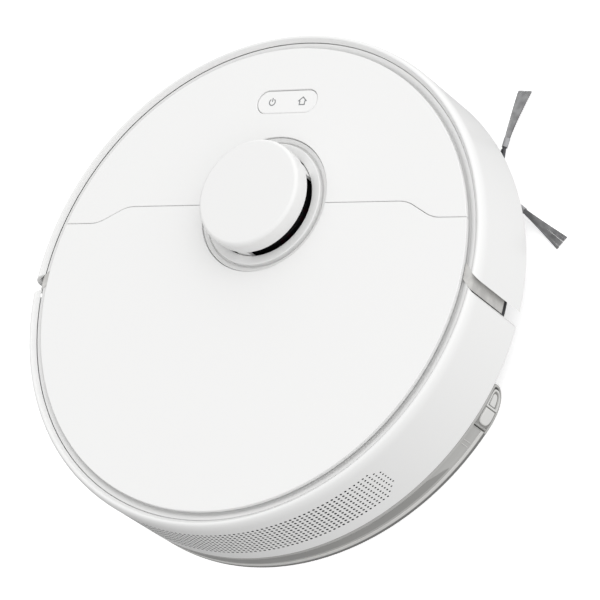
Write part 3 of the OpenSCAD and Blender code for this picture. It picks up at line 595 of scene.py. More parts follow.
M_BELT = rubber("belt_rubber", (0.015, 0.015, 0.016), 0.7)
M_STEEL = metal("steel", (0.56, 0.57, 0.58), 0.3, (1, 40, 1))
M_BRASS = metal("contact_plate", (0.72, 0.6, 0.36), 0.28, (1, 30, 1))
M_MOTOR = metal("motor_can", (0.5, 0.51, 0.53), 0.38, (40, 1, 1))
M_SCREW = metal("screw_steel", (0.42, 0.42, 0.43), 0.35)
M_FOAM = foam("exhaust_foam", (0.05, 0.05, 0.055))
M_FILTER = pleated("filter_paper", (0.72, 0.71, 0.66))
M_BOARD = circuit_board("board_green", (0.015, 0.11, 0.045))
M_BRISTLE = bristle("grey_bristle", (0.31, 0.31, 0.315))
M_MOP = microfibre("mop_cloth", (0.36, 0.4, 0.44))
M_BINDING = microfibre("mop_binding", (0.14, 0.16, 0.18))


# ---------- outer shells ----------

def cut_angle(r, cut):
    """Angle at which a circle of radius r meets the slanted plane |x| + y = cut on the right."""
    return math.asin(min(1.0, cut / (r * math.sqrt(2)))) - math.pi / 4


INNER_R = BODY_R - WALL


def wall_outer():
    """Outer face of the side wall from its bottom edge up over the lip, as (radius, height)."""
    lip_top = DECK_Z - 0.3
    edge = 0.9
    lip = 2.9
    roll = 8
    # elliptical shoulder, as wide as the lip and as tall as the roll
    shoulder = [(BODY_R - lip + lip * x, lip_top - roll + roll * y) for x, y in arc((0, 0), 1, 0, 90, 14)]
    foot = arc((BODY_R - edge, SIDE_Z + edge), edge, -90, 0, 4)
    return foot, shoulder + arc((171.55, lip_top - 0.6), 0.6, 90, 140, 3) + [(168.8, LIP_Z)]


WINDOW_HALF = 20 * DEG


def build_bumper():
    """Front bumper with a rounded opening for its dark sensor window."""
    bm = bmesh.new()
    foot, crown = wall_outer()
    middle = (WINDOW_LOW.z + WINDOW_HIGH.z) / 2
    half = (WINDOW_HIGH.z - WINDOW_LOW.z) / 2 + 0.1
    columns = 180

    def half_height(a):
        """Half the opening's height at angle a: a long slot with round ends."""
        beyond = max(0.0, abs(a - math.pi / 2) * BODY_R - (WINDOW_HALF * BODY_R - half))
        return math.sqrt(max(0.0, half * half - beyond * beyond))

    def section(share):
        """The wall's rings below and above the opening, and the opening's half height."""
        def place(r, z):
            """A vertex at this share of the way round, at a radius and height."""
            start = cut_angle(r, BUMPER_CUT)
            return polar(bm, r, start + (math.pi - 2 * start) * share, z)

        first = cut_angle(BODY_R, BUMPER_CUT)
        h = half_height(first + (math.pi - 2 * first) * share)
        below = [place(INNER_R, middle - h), place(INNER_R, SIDE_Z)]
        below += [place(r, z) for r, z in foot] + [place(BODY_R, middle - h)]
        above = [place(BODY_R, middle + h)] + [place(r, z) for r, z in crown]
        above += [place(INNER_R, LIP_Z), place(INNER_R, middle + h)]
        return below, above, h

    sections = [section(i / columns) for i in range(columns + 1)]
    for (below_a, above_a, h_a), (below_b, above_b, h_b) in zip(sections, sections[1:]):
        grid_faces(bm, [above_a, above_b], close_ring=False)
        grid_faces(bm, [below_a, below_b], close_ring=False)
        if h_a > 0 or h_b > 0:
            bm.faces.new([below_a[-1], below_b[-1], below_b[0], below_a[0]])
            bm.faces.new([above_a[0], above_a[-1], above_b[-1], above_b[0]])
    for below, above, _ in (sections[0], sections[-1]):
        cap_ring(bm, below[1:-1] + above[:-1])
    make_piece("bumper_skin", bm, "bumper", M_SHELL, "bumper_shell")


def build_window():
    """Dark glossy window in the bumper."""
    length = 2 * WINDOW_HALF * BODY_R - 0.3
    height = WINDOW_HIGH.z - WINDOW_LOW.z - 0.2
    outline = pill_loop(length, height, (0, (WINDOW_LOW.z + WINDOW_HIGH.z) / 2))
    bm = wrap(plate([outline], BODY_R - 2, BODY_R - 0.35, 0.3), 90 * DEG)
    make_piece("bumper_window_skin", bm, "bumper", M_BLACK_GLOSS, "bumper_window")


GRILLE_ROWS = 11
GRILLE_COLUMNS = 77
GRILLE_TOP = 55.3
GRILLE_BOTTOM = 23.5
HOLE_R = 0.94
HOLE_END_R = 0.68
FULL_COLUMNS = 26
# holes that each grille row leaves out at both ends, from the bottom row up
GRILLE_INSETS = [3, 2, 1, 0, 0, 0, 0, 0, 0, 1, 2]


def hole_radius(column):
    """The grille's holes get smaller over its last columns, counted from the middle."""
    share = max(0.0, abs(column) - FULL_COLUMNS) / (GRILLE_COLUMNS // 2 - FULL_COLUMNS)
    return HOLE_R + (HOLE_END_R - HOLE_R) * share


def pierced_cell(bm, corners, hole_r, sides=12):
    """Faces of one grid cell with a round hole in it; returns the hole's rim."""
    centre = sum((v.co for v in corners), Vector()) / 4
    radius = math.hypot(corners[0].co.x, corners[0].co.y)
    across = (corners[1].co - corners[0].co).normalized()
    ring = []
    for n in range(sides):
        a = (-135 + n * 360 / sides) * DEG
        p = centre + across * (hole_r * math.cos(a))
        level = radius / math.hypot(p.x, p.y)
        ring.append(bm.verts.new((p.x * level, p.y * level, p.z + hole_r * math.sin(a))))
    for c in range(4):
        here, after = corners[c], corners[(c + 1) % 4]
        first, second, third, fourth = (ring[(c * sides // 4 + n) % sides] for n in range(4))
        bm.faces.new([here, after, third, second])
        bm.faces.new([here, second, first])
        bm.faces.new([after, fourth, third])
    return ring


def build_rear_shell():
    """Rear wall whose exhaust grille is a square grid of round holes right through the shell, their walls
    dark as painted shade inside the holes.
    """
    bm = bmesh.new()
    foot, crown = wall_outer()
    pitch = (GRILLE_TOP - GRILLE_BOTTOM) / (GRILLE_ROWS - 1)
    first = GRILLE_BOTTOM - pitch / 2
    rows = [foot[-1][1]] + [first + pitch * k for k in range(GRILLE_ROWS + 1)] + [crown[0][1]]
    columns = 149
    middle = columns // 2

    def place(r, z, i):
        """A vertex on a column's edge, at a radius and height."""
        start = cut_angle(r, REAR_CUT)
        return polar(bm, r, start - (math.pi + 2 * start) * i / columns, z)

    def pierced(i, k):
        """Whether a cell has a hole."""
        row = k - 1
        return 0 <= row < GRILLE_ROWS and abs(i - middle) <= GRILLE_COLUMNS // 2 - GRILLE_INSETS[row]

    outer = [[place(BODY_R, z, i) for z in rows] for i in range(columns + 1)]
    inner = [[place(INNER_R, z, i) for z in rows] for i in range(columns + 1)]
    top, bottom = [], []
    for i in range(columns + 1):
        top.append([outer[i][-1]] + [place(r, z, i) for r, z in crown[1:]]
                   + [place(INNER_R, crown[-1][1], i), inner[i][-1]])
        bottom.append([inner[i][0], place(INNER_R, SIDE_Z, i)]
                      + [place(r, z, i) for r, z in foot[:-1]] + [outer[i][0]])
    for i in range(columns):
        for k in range(len(rows) - 1):
            sides = [[face[i][k], face[i + 1][k], face[i + 1][k + 1], face[i][k + 1]]
                     for face in (outer, inner)]
            if pierced(i, k):
                rims = [pierced_cell(bm, corners, hole_radius(i - middle)) for corners in sides]
                # the holes' walls take the dark material: painted shade inside the holes
                grid_faces(bm, rims, paint=1)
            else:
                for corners in sides:
                    bm.faces.new(corners)
    for strip in (top, bottom):
        grid_faces(bm, strip, close_ring=False)
    for i in (0, columns):
        cap_ring(bm, bottom[i] + outer[i][1:-1] + top[i] + inner[i][-2:0:-1])
    skin = make_piece("rear_shell_skin", bm, "chassis", M_SHELL, "rear_shell")
    # dark material for the holes' walls, as painted shade inside them
    skin.data.materials.append(M_DARK)


def build_end_seals():
    """Grey flexible infills between the bumper's ends and the rear shell."""
    seal_r = 171
    fillet = 2.2
    foot = 26
    top = RIM_Z + 0.24
    clear = 0.15
    profile = ([(FRAME_R + 0.2, foot), (seal_r, foot)]
               + arc((seal_r - fillet, top - fillet), fillet, 0, 90, 10)
               + [(DECK_R + 0.2, top), (DECK_R + 0.2, RIM_Z - 2), (FRAME_R + 0.2, RIM_Z - 2)])

    def span(r):
        """The angles between which the gap is open at a radius."""
        return cut_angle(r, REAR_CUT + clear), cut_angle(r, BUMPER_CUT - clear)

    make_piece("end_seal_right", lathe_arc(profile, span, 8), "chassis", M_SEAL, "end_seals")
    mirror = Matrix.Scale(-1, 4, (1, 0, 0))
    seal = make_piece("end_seal_left", moved(lathe_arc(profile, span, 8), mirror), "chassis", M_SEAL,
                      "end_seals")
    # the one CAD node is both seals, so both pieces stand in for it
    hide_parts("end_seals")


def build_rim():
    """Floor of the groove around the covers, dished up a little towards a dark gap under the lip."""
    inner = 158
    outer = 168.5
    top = [(outer, -0.15), (168.2, 0), (167.6, -0.05), (166.6, -0.35), (165.2, -0.95), (164.3, -1.5),
           (163.6, -1.7), (inner, -1.7)]
    profile = [(inner, RIM_Z - 2.2), (outer, RIM_Z - 2.2)] + [(r, RIM_Z + z) for r, z in top]
    make_piece("rim_floor", lathe(profile, 240), "chassis", M_RIM, "rim_ring")


# ---------- covers ----------

def softened(points):
    """Rounds the kinks of the seam's line."""
    return round_corners(points, [0] + [SEAM_SOFT] * (len(points) - 2) + [0], 8)


def cover_loop(front):
    """Outline of the front cover or of the lid, counter-clockwise."""
    shift = SEAM_GAP if front else -SEAM_GAP
    main = SEAM_Y + shift
    side = SEAM_SIDE_Y + shift
    hole_a = math.asin(shift / TURRET_HOLE_R) / DEG
    # the seam's right half, from the deck's edge to the turret's hole, and its left half back again
    right = [(math.sqrt(DECK_R ** 2 - side ** 2), side), (SEAM_KINK_OUT, side), (SEAM_KINK_IN, main),
             (TURRET_HOLE_R * math.cos(hole_a * DEG), main)]
    left = [(-x, y) for x, y in reversed(right)]
    start = math.atan2(side, right[0][0]) / DEG
    if front:
        edge = arc((0, 0), DECK_R, start, 180 - start, 150)[1:-1]
        hole = arc(TURRET, TURRET_HOLE_R, 180 - hole_a, hole_a, 72)[1:-1]
        return edge + softened(left[::-1]) + hole + softened(right[::-1])
    edge = arc((0, 0), DECK_R, 180 - start, 360 + start, 190)[1:-1]
    hole = arc(TURRET, TURRET_HOLE_R, hole_a, -180 - hole_a, 72)[1:-1]
    return edge + softened(right) + hole + softened(left)


def build_front_cover():
    """Front cover with its key opening, its foot and the ears that hold the lid's hinge pins."""
    underside = DECK_Z - COVER_T
    key_hole = pill_loop(KEY_W, KEY_D, (0, KEY_Y))[::-1]
    bm = plate([cover_loop(True), key_hole], underside, DECK_Z, 0.55, 0.2)
    foot = [(159.2, RIM_Z), (161.8, RIM_Z), (161.8, underside + 0.1), (159.2, underside + 0.1)]
    start = math.asin(SEAM_Y / 160) + 2 * DEG
    lathe_arc(foot, (start, math.pi - start), 90, bm=bm)
    low, high = box("lid_hinge_pins")
    pin = (low + high) / 2
    hinge_x = 76
    spacing = 4.5
    thin = 1.5
    reach = 2.6
    for hinge in (-hinge_x, hinge_x):
        for x in (hinge - spacing, hinge + spacing):
            corner = (x - thin, pin.y - reach, pin.z - reach)
            join_bm(bm, box_bm(corner, (x + thin, pin.y + reach, underside + 0.1), 0.3))
    make_piece("front_cover_skin", bm, "chassis", M_DECK, "front_cover")


def build_rear_lid():
    """Lid with an undercut front edge, and stiffening ribs beneath it."""
    setback = 2
    underside = DECK_Z - COVER_T

    def undercut(p, z):
        """The lid's front edge slants back towards its lower side, so that it can swing up."""
        on_seam = abs(p.x) < SEAM_KINK_OUT + 26 and p.y > SEAM_SIDE_Y - 2
        on_hole = math.hypot(p.x, p.y - TURRET.y) < TURRET_HOLE_R + 1.5
        if not on_seam or on_hole or math.hypot(p.x, p.y) > DECK_R - 1:
            return p
        depth = max(0.0, DECK_Z - 0.4 - z) / COVER_T
        return Vector((p.x, p.y - setback * depth))

    bm = plate([cover_loop(False)], underside, DECK_Z, 0.5, 0.2, lower=undercut)
    make_piece("rear_lid_skin", bm, "lid", M_DECK, "rear_lid")

    bm = bmesh.new()
    low = underside - 2.6
    high = underside + 0.1
    inner, outer = 100, 122
    centre = (0, -20)
    ends_y = 28
    spokes = 9
    for r in (outer, inner):
        section = [(r - 1.2, low + 0.4), (r - 0.8, low), (r - 0.4, low), (r, low + 0.4), (r, high),
                   (r - 1.2, high)]
        start = math.asin(ends_y / r)
        lathe_arc(section, (-math.pi - start, start), 120, centre, bm)
    for i in range(spokes):
        turn = Matrix.Translation((*centre, 0)) @ Matrix.Rotation((-170 + i * 20) * DEG, 4, "Z")
        join_bm(bm, box_bm((inner, -0.5, low), (outer, 0.5, high), 0.15, 1), turn)
    make_piece("lid_ribs", bm, "lid", M_DECK, "rear_lid")


def stroke(bm, points, width, z0, z1, closed=False):
    """A raised line of constant width along a flat path."""
    points = [Vector(p) for p in points]
    if closed:
        left, right = inset(points, width / 2), inset(points, -width / 2)
    else:
        ahead = [(b - a).normalized() for a, b in zip(points[:1] + points, points[1:] + points[-1:])]
        shifts = [Vector((-a.y, a.x)) * width / 2 for a in ahead]
        left = [p + shift for p, shift in zip(points, shifts)]
        right = [p - shift for p, shift in zip(points, shifts)]
    rings = [[bm.verts.new((*p, z)) for p, z in ((a, z0), (a, z1), (b, z1), (b, z0))]
             for a, b in zip(left, right)]
    grid_faces(bm, rings, close_rows=closed)
    if not closed:
        cap_ends(bm, rings)


def build_keys():
    """Rocking key plate with generic power and home signs."""
    loop = pill_loop(KEY_W - 0.6, KEY_D - 0.6, (0, KEY_Y))
    bm = plate([loop], KEY_LOW.z, KEY_HIGH.z, 0.9, 0.2, 5)
    make_piece("key_plate_skin", bm, "keys", M_KEY, "key_plate")
    level = (KEY_HIGH.z - 0.05, KEY_HIGH.z + 0.06)
    line = 0.75
    bm = bmesh.new()
    power = Vector((-12, KEY_Y))
    stroke(bm, arc(power, 2.3, 122, 418, 26), line, *level)
    stroke(bm, [power + Vector((0, 0.3)), power + Vector((0, 3.1))], line, *level)
    house = [(-2, -2.5), (2, -2.5), (2, 0.1), (2.9, 0.3), (0, 3), (-2.9, 0.3), (-2, 0.1)]
    stroke(bm, [(12 + x, KEY_Y + y) for x, y in house], line, *level, closed=True)
    make_piece("key_signs", bm, "keys", M_ICON, "key_plate")


# ---------- turret ----------

PILLARS = [39, 150, 261]
PILLAR_HALF = 8.4
FACE_MIDDLE = -30
FACE_HALF = 72


def build_turret():
    """Cap on three pillars, and the base round the laser window."""
    # cap: crowned top, soft shoulder, straight skirt with a fine lower edge, hollow underneath
    fillet = 2.6
    edge = 0.4
    profile = ([(0, CAP_Z + 2), (33, CAP_Z + 2), (35, CAP_Z + 0.5), (35.6, CAP_Z)]
               + arc((CAP_R - edge, CAP_Z + edge), edge, -90, 0, 3)
               + arc((CAP_R - fillet, CAP_TOP - fillet - 0.1), fillet, 0, 88, 9)
               + [((CAP_R - fillet) * share, CAP_TOP - 0.1 * share ** 2)
                  for share in (0.85, 0.7, 0.5, 0.25, 0)])
    bm = lathe(profile, 192, TURRET)
    pillar = [(34.7, DECK_Z - 5), (36.7, DECK_Z - 5), (36.7, CAP_Z + 1), (34.7, CAP_Z + 1)]
    for angle in PILLARS:
        span = ((angle - PILLAR_HALF) * DEG, (angle + PILLAR_HALF) * DEG)
        lathe_arc(pillar, span, 8, TURRET, bm)
    make_piece("turret_cap", bm, "turret_cap", M_CAP, "turret_cover")

    # base: sloped collar, dark groove, flange round the window
    low = DECK_Z - 6
    outer = TURRET_HOLE_R - 0.35
    flange = DECK_Z + 0.35
    collar = ([(37.1, low), (outer, low), (outer, DECK_Z - 1.3)]
              + arc((outer - 0.4, DECK_Z - 1.3), 0.4, 0, 80, 3)
              + [(45.4, DECK_Z - 1.9), (45, DECK_Z - 2.3), (45, DECK_Z - 4), (43.6, DECK_Z - 4),
                 (43.4, DECK_Z - 1)]
              + arc((42.6, flange - 0.8), 0.8, 0, 90, 4)
              + arc((37.7, flange - 0.6), 0.6, 90, 180, 3))
    make_piece("turret_collar", lathe(collar, 192, TURRET), "chassis", M_TURRET, "turret_base")


def build_rotor():
    """Laser head: a grey drum with a dark glossy face and two lenses."""
    low, high = box("lidar_rotor")
    drum_r = (high.x - low.x) / 2
    belt_z = 53.5
    roof_z = 59.2
    drum = [(0, roof_z), (7.2, roof_z), (6.2, roof_z - 0.2), (6.2, low.z), (28.6, low.z),
            (29.4, low.z + 0.8), (28.2, low.z + 1.6), (28.2, belt_z), (29.4, belt_z + 0.4),
            (drum_r - 0.6, belt_z + 1.5), (drum_r - 0.2, belt_z + 2.1),
            (drum_r - 0.2, high.z - 0.8), (drum_r - 0.8, high.z), (0, high.z)]
    make_piece("rotor_drum", lathe(drum, 144, TURRET), "rotor", M_ROTOR, "lidar_rotor")
    foot = belt_z + 3
    face = [(drum_r - 1, foot), (drum_r - 0.1, foot), (drum_r, foot + 0.4), (drum_r, high.z - 1.4),
            (drum_r - 0.1, high.z - 1), (drum_r - 1, high.z - 1)]
    bm = lathe_arc(face, ((FACE_MIDDLE - FACE_HALF) * DEG, (FACE_MIDDLE + FACE_HALF) * DEG), 60, TURRET)
    make_piece("rotor_face", bm, "rotor", M_BLACK_GLOSS, "lidar_rotor")
    bm = bmesh.new()
    for offset in (-17, 17):
        a = (FACE_MIDDLE + offset) * DEG
        out = Vector((math.cos(a), math.sin(a), 0))
        centre = Vector((*TURRET, 66)) + out * (drum_r - 0.55)
        rod(bm, centre - out * 2, centre + out * 0.5, 5.2, 4.9, 32)
    make_piece("rotor_lenses", bm, "rotor", M_LENS, "lidar_rotor")


# ---------- side brush ----------

SIDE_HUB = Vector((125, 94))
SIDE_ARMS = [85.3, -34.7, -154.7]
CUP_R = 33.5
TIP_R = 70.4


def side_arm(angle):
    """Turns what is drawn along +X onto one of the side brush's arms."""
    return Matrix.Translation((*SIDE_HUB, 0)) @ Matrix.Rotation(angle * DEG, 4, "Z")


def build_side_brush():
    """Three-armed side brush with bundles of separate bristles."""
    bm = bmesh.new()
    hub = ([(0, 3), (9.6, 3), (10.8, 1.6), (11, -2.6)]
           + arc((9, -2.7), 2, 0, -90, 5)
           + [(3.4, -4.7), (3.2, -3.6), (0, -3.6)])
    lathe(hub, 64, SIDE_HUB, bm)
    shaft = [(0, 24), (2.2, 24), (2.5, 23.4), (2.5, 2.5), (0, 2.5)]
    lathe(shaft, 24, SIDE_HUB, bm)
    ferrules = bmesh.new()
    neck = CUP_R - 8
    outline = round_corners([(6, -4.4), (15, -2.6), (neck, -1.2), (neck, 1.2), (15, 2.6), (6, 4.4)],
                            [0, 4, 0.4, 0.4, 4, 0])
    for angle in SIDE_ARMS:
        turn = side_arm(angle)
        join_bm(bm, plate([outline], -5.5, -2.5, 0.7, 0.7, 4), turn)
        stem = rod(bmesh.new(), (CUP_R - 11, 0, -4.2), (CUP_R - 6.2, 0, -4.25), 1.1, 1.5, 20)
        join_bm(bm, stem, turn)
        cup = rod(bmesh.new(), (CUP_R - 6.4, 0, -4.25), (CUP_R, 0, -4.35), 2, 2.1, 24)
        join_bm(ferrules, cup, turn)
    make_piece("side_brush_arms", bm, "side_brush", M_SIDE_HUB, "side_brush_hub")
    make_piece("side_brush_ferrules", ferrules, "side_brush", M_FERRULE, "side_brush_hub")
    screw = [(0, -4.4), (2.2, -4.4), (2.6, -4), (2.6, -3.5), (0, -3.5)]
    make_piece("side_brush_screw", lathe(screw, 32, SIDE_HUB), "side_brush", M_SCREW, "side_brush_hub")

    hairs = 210
    sunk = 2.2
    draw = random.Random(7)
    bm = bmesh.new()
    for angle in SIDE_ARMS:
        tuft = bmesh.new()
        for _ in range(hairs):
            across = draw.uniform(-1, 1)
            level = draw.uniform(-1, 1)
            length = (TIP_R - CUP_R) * draw.uniform(0.985, 1.0)
            fan = across * 5.2 + draw.uniform(-0.3, 0.3)
            root = Vector((CUP_R - sunk, across * 1.3, -4.3 + level * 1.1))
            drop = level * 0.7 - 9.1 - root.z
            points = []
            for t in (0, 0.25, 0.5, 0.75, 1):
                bend = Vector(((length + sunk) * t, (fan - root.y) * t ** 1.25, drop * t ** 1.6))
                points.append(root + bend)
            hair(tuft, points, 0.17)
        join_bm(bm, tuft, side_arm(angle))
    make_piece("side_brush_bristles", bm, "side_brush", M_BRISTLE, "side_brush_tufts", crease=80)


# ---------- water tank and mop ----------

LATCH_A = -22.5 * DEG
BAND_A = LATCH_A - 4.4 * DEG
POCKET_HALF = 13.2
POCKET_R = BODY_R - 6.3
# the tank's underside curves up from here to its front edge, by this much
RAMP_BACK = -84
RAMP_RISE = 11
# the names of both sides, and whether they mirror what is drawn on the right
SIDES = (("right", False), ("left", True))


def ramp_height(y):
    """Height of the tank's underside at a place along Y."""
    share = max(0.0, (y - RAMP_BACK) / (TANK_HIGH.y - RAMP_BACK))
    return TANK_LOW.z + RAMP_RISE * share ** 4


def ramped(bm):
    """Squeezes what hangs from the tank's top edge up to its ramped underside."""
    top = TANK_HIGH.z
    tall = top - TANK_LOW.z
    for v in bm.verts:
        v.co.z = top - (top - v.co.z) * (top - ramp_height(v.co.y)) / tall
    return bm


def tank_outline():
    """The tank seen from above: a round back with a latch pocket on each side."""
    edge = math.asin(TANK_HIGH.y / POCKET_R) / DEG
    far = (LATCH_A - POCKET_HALF / BODY_R) / DEG
    side = arc((0, 0), POCKET_R, edge, far, 12)
    back = arc((0, 0), BODY_R, far, -180 - far, 120)
    other = [(-x, y) for x, y in reversed(side)]
    return (side + back + other)[::-1]


def tank_band(name, material, z0, z1, inward):
    """A band round the tank's wall, from behind one latch pocket to behind the other."""
    r = BODY_R - inward
    soft = 0.25
    back = r - 1.2
    profile = [(back, z0), (r - soft, z0), (r, z0 + soft), (r, z1 - soft), (r - soft, z1), (back, z1)]
    bm = lathe_arc(profile, (-math.pi - BAND_A, BAND_A), 140)
    make_piece(name, ramped(bm), "tank", material, "water_tank")


def build_tank():
    """Smoked water tank with a fluted wall, latch pockets and a ramped underside."""
    low, high = TANK_LOW.z, TANK_HIGH.z
    wall = [(1.7, 0), (0.7, 0.5), (0.35, 1.2), (0.35, 3.2), (0.5, 3.5), (0.5, 6.3), (0.55, 6.6),
            (0.55, 16.3), (0.15, 16.6), (0.15, 17.9), (0.45, 18.5)]
    pairs = [(shift, low + rise) for shift, rise in wall] + [(1, high)]
    bm = plate([tank_outline()], low, high, pairs=pairs)
    parts = 8
    bends = [RAMP_BACK + (TANK_HIGH.y - RAMP_BACK) * k / parts for k in range(parts)]
    make_piece("tank_body", ramped(sliced(bm, bends, (0, 1, 0))), "tank", M_TANK, "water_tank")
    tank_band("tank_keel", M_TANK_KEEL, low + 0.25, low + 2.9, 0.25)
    tank_band("tank_rail", M_TANK_RAIL, low + 3.4, low + 6.2, 0.1)

    # round-ended frame of each latch pocket, which is the tank's tip
    tip = (math.asin(TANK_HIGH.y / BODY_R) - LATCH_A) * BODY_R
    outer = rectangle(-tip, POCKET_HALF + 0.7, low, high, [7, 0, 0, 5], 8)
    inner = rectangle(1.7 - tip, POCKET_HALF, low + 1.8, high - 2.2, [6, 0.5, 0.5, 4], 8)
    outer, inner = [subdivide(loop + loop[:1], 1.5)[:-1] for loop in (outer, inner)]
    for name, mirror in SIDES:
        bm = plate([outer, inner[::-1]], POCKET_R - 0.2, BODY_R - 0.2, 0.5, steps=4)
        bm = ramped(wrap(bm, LATCH_A, mirror))
        make_piece(f"tank_tip_{name}", bm, "tank", M_TANK, "water_tank")

    # darker chamber showing through the wall, pointed at its ends
    chamber_half = 53 * DEG
    reach = chamber_half * BODY_R
    z0, z1 = 0.2, 7.6
    outline = [(-reach, z0), (reach, z0), (reach - 3, z0 + 2.2), (reach - 16, z1),
               (-reach + 16, z1), (-reach + 3, z0 + 2.2)]
    chamber = plate([round_corners(outline, 3)], BODY_R - 1.2, BODY_R - 0.3, 0.25)
    make_piece("tank_chamber", wrap(chamber, -90 * DEG), "tank", M_TANK_DARK, "water_tank")

    # pale upright ribs beside each latch
    tall = 8
    rib = [(y, tall / 2 - x) for x, y in pill_loop(tall, 0.5, (0, 0), 4)]
    bm = bmesh.new()
    for _, mirror in SIDES:
        for place in (-30.4, -31.4):
            join_bm(bm, wrap(plate([rib], BODY_R - 1, BODY_R - 0.15, 0.15), place * DEG, mirror))
    make_piece("tank_ribs", bm, "tank", M_TANK_RAIL, "water_tank")


def latch_plate(loops, height, inward, thickness, soft, mirror, steps=4):
    """A plate that follows the body's round wall at the latch, its face set in from the wall."""
    face = BODY_R - inward
    bm = moved(plate(loops, face - thickness, face, soft, steps=steps), Matrix.Translation((0, height, 0)))
    return wrap(bm, LATCH_A, mirror)


def build_latches():
    """Squeeze latches: a slotted nose, a dark slit, a raised rounded button and a ribbed grip."""
    for name, mirror in SIDES:
        node = f"tank_latch_{name}"
        body = f"latch_{name}"
        low, high = box(node)
        z0, z1 = low.z + 0.25, high.z - 0.2
        middle = (z0 + z1) / 2
        half = (z1 - z0) / 2
        front = 14.3
        base = rectangle(-front, 12.6, -half, half, [6.5, 1.5, 1.5, 6.5], 6)
        bm = latch_plate([base], middle, 1.5, 2, 0.3, mirror)
        make_piece(f"latch_{name}_base", ramped(bm), body, M_TANK_DARK, node)

        rim = half - 0.4
        nose = rectangle(0.3 - front, -1.6, -rim, rim, [6.4, 1, 1, 6.4], 6)
        bm = latch_plate([nose, inset(nose, 1.2)[::-1]], middle, 0.35, 1.35, 0.3, mirror, 3)
        pad = rectangle(-11.2, -3.4, -3.4, 3.4, [3, 1, 1, 3], 5)
        join_bm(bm, latch_plate([pad], middle, 0.8, 0.9, 0.4, mirror))
        button = rectangle(-0.9, 9.9, 1.3 - half, half - 1.3, [1, 6, 6, 1], 6)
        join_bm(bm, latch_plate([button], middle, 0.2, 1.5, 0.8, mirror))
        for x in (11.1, 11.65):
            rib = rectangle(x, x + 0.25, -rim, rim, 0.1, 2)
            join_bm(bm, latch_plate([rib], middle, 0.9, 0.8, 0.1, mirror))
        make_piece(f"latch_{name}_face", ramped(bm), body, M_LATCH, node)


MOP_R = 158


def build_mop():
    """Quilted microfibre pad with a sewn binding round its edge."""
    low, high = box("mop_pad")
    front = high.y
    binding = 4
    edge_in = 3.2
    channel = 26
    step = 2
    # how far from the edge, and from a seam, the quilting is at its full thickness
    edge_swell = 9
    seam_swell = 4.5
    draw = random.Random(11)
    columns = int(2 * MOP_R / step)
    rows = int((front + MOP_R) / step)
    bm = bmesh.new()
    quilt = {}
    for side in (0, 1):
        for i in range(columns + 1):
            for k in range(rows + 1):
                x = -MOP_R + i * step
                y = -MOP_R + k * step
                depth = min(front - y, MOP_R - math.hypot(x, y))
                if depth < edge_in:
                    continue
                swell = math.sin(min(1.0, (depth - edge_in) / edge_swell) * math.pi / 2)
                seam = abs((x + channel / 2) % channel - channel / 2)
                puff = math.sin(min(1.0, seam / seam_swell) * math.pi / 2)
                flat = 1 - (0.55 + 0.45 * swell) * (0.5 + 0.5 * puff)
                z = high.z - 0.2 - 0.9 * flat if side == 0 else low.z + 0.15 + 1.1 * flat
                quilt[side, i, k] = bm.verts.new((x, y, z + draw.uniform(-0.06, 0.06)))
    for side, i, k in quilt:
        keys = [(side, i, k), (side, i + 1, k), (side, i + 1, k + 1), (side, i, k + 1)]
        if all(key in quilt for key in keys):
            corners = [quilt[key] for key in keys]
            bm.faces.new(corners if side == 0 else corners[::-1])
    bmesh.ops.bridge_loops(bm, edges=[e for e in bm.edges if e.is_boundary])
    cloth = make_piece("mop_cloth", bm, "tank", M_MOP, "mop_pad", crease=70)

    # binding: a folded tape round the edge, with its stitches
    start = math.asin(front / MOP_R) / DEG
    outline = round_corners(arc((0, 0), MOP_R, start, -180 - start, 120)[::-1],
                            [14] + [0] * 119 + [14], 6)
    middle = (low.z + high.z) / 2
    half = (high.z - low.z) / 2 - 0.1
    bm = bmesh.new()
    rings = []
    folds = 12
    for k in range(folds + 1):
        a = (90 - 180 * k / folds) * DEG
        loop = inset(outline, max(0.05, binding - binding * max(0.0, math.cos(a)) ** 0.6))
        rings.append([bm.verts.new((*p, middle + half * math.sin(a))) for p in loop])
    for ring, level in ((rings[-1], -0.4), (rings[0], 0.4)):
        rings.append([bm.verts.new((v.co.x, v.co.y, middle + half * level)) for v in ring])
    grid_faces(bm, rings, close_rows=True)
    make_piece("mop_binding", bm, "tank", M_BINDING, "mop_pad", crease=60)

    bm = bmesh.new()
    loop = inset(outline, binding * 0.72)
    path = [Vector(p) for p in subdivide(loop + loop[:1], 3)]
    for a, b in zip(path, path[1:]):
        for z in (middle - half * 0.9, middle + half * 0.9):
            rod(bm, (*a.lerp(b, 0.15), z), (*a.lerp(b, 0.8), z), 0.16, 0.16, 5)
    make_piece("mop_stitches", bm, "tank", M_BRISTLE, "mop_pad")


# ---------- wheels, caster and brushes ----------

LUGS = 34
SPOKES = 6


def build_tyre(name, centre, radius, half):
    """Rubber tyre with chevron lugs."""
    per_lug = 8
    across = 18
    bore = 29.1
    lug_depth = 1.5
    bm = bmesh.new()
    rings = []
    for i in range(LUGS * per_lug):
        places = []
        for k in range(across + 1):
            t = -1 + 2 * k / across
            lug = (i / per_lug + abs(t) * 0.9) % 1 < 0.5 and abs(t) >= 0.12
            shoulder = 1.6 * max(0.0, abs(t) - 0.72) / 0.28
            places.append((t * half, radius - (0 if lug else lug_depth) - shoulder))
        places += [(half, bore + 2.2), (half - 1, bore), (1 - half, bore), (-half, bore + 2.2)]
        a = 2 * math.pi * i / (LUGS * per_lug)
        rings.append([bm.verts.new(around_x(centre, x, r, a)) for x, r in places])
    grid_faces(bm, rings, close_rows=True)
    make_piece(f"tyre_{name}_tread", bm, f"wheel_{name}", M_TYRE, f"tyre_{name}", crease=28)


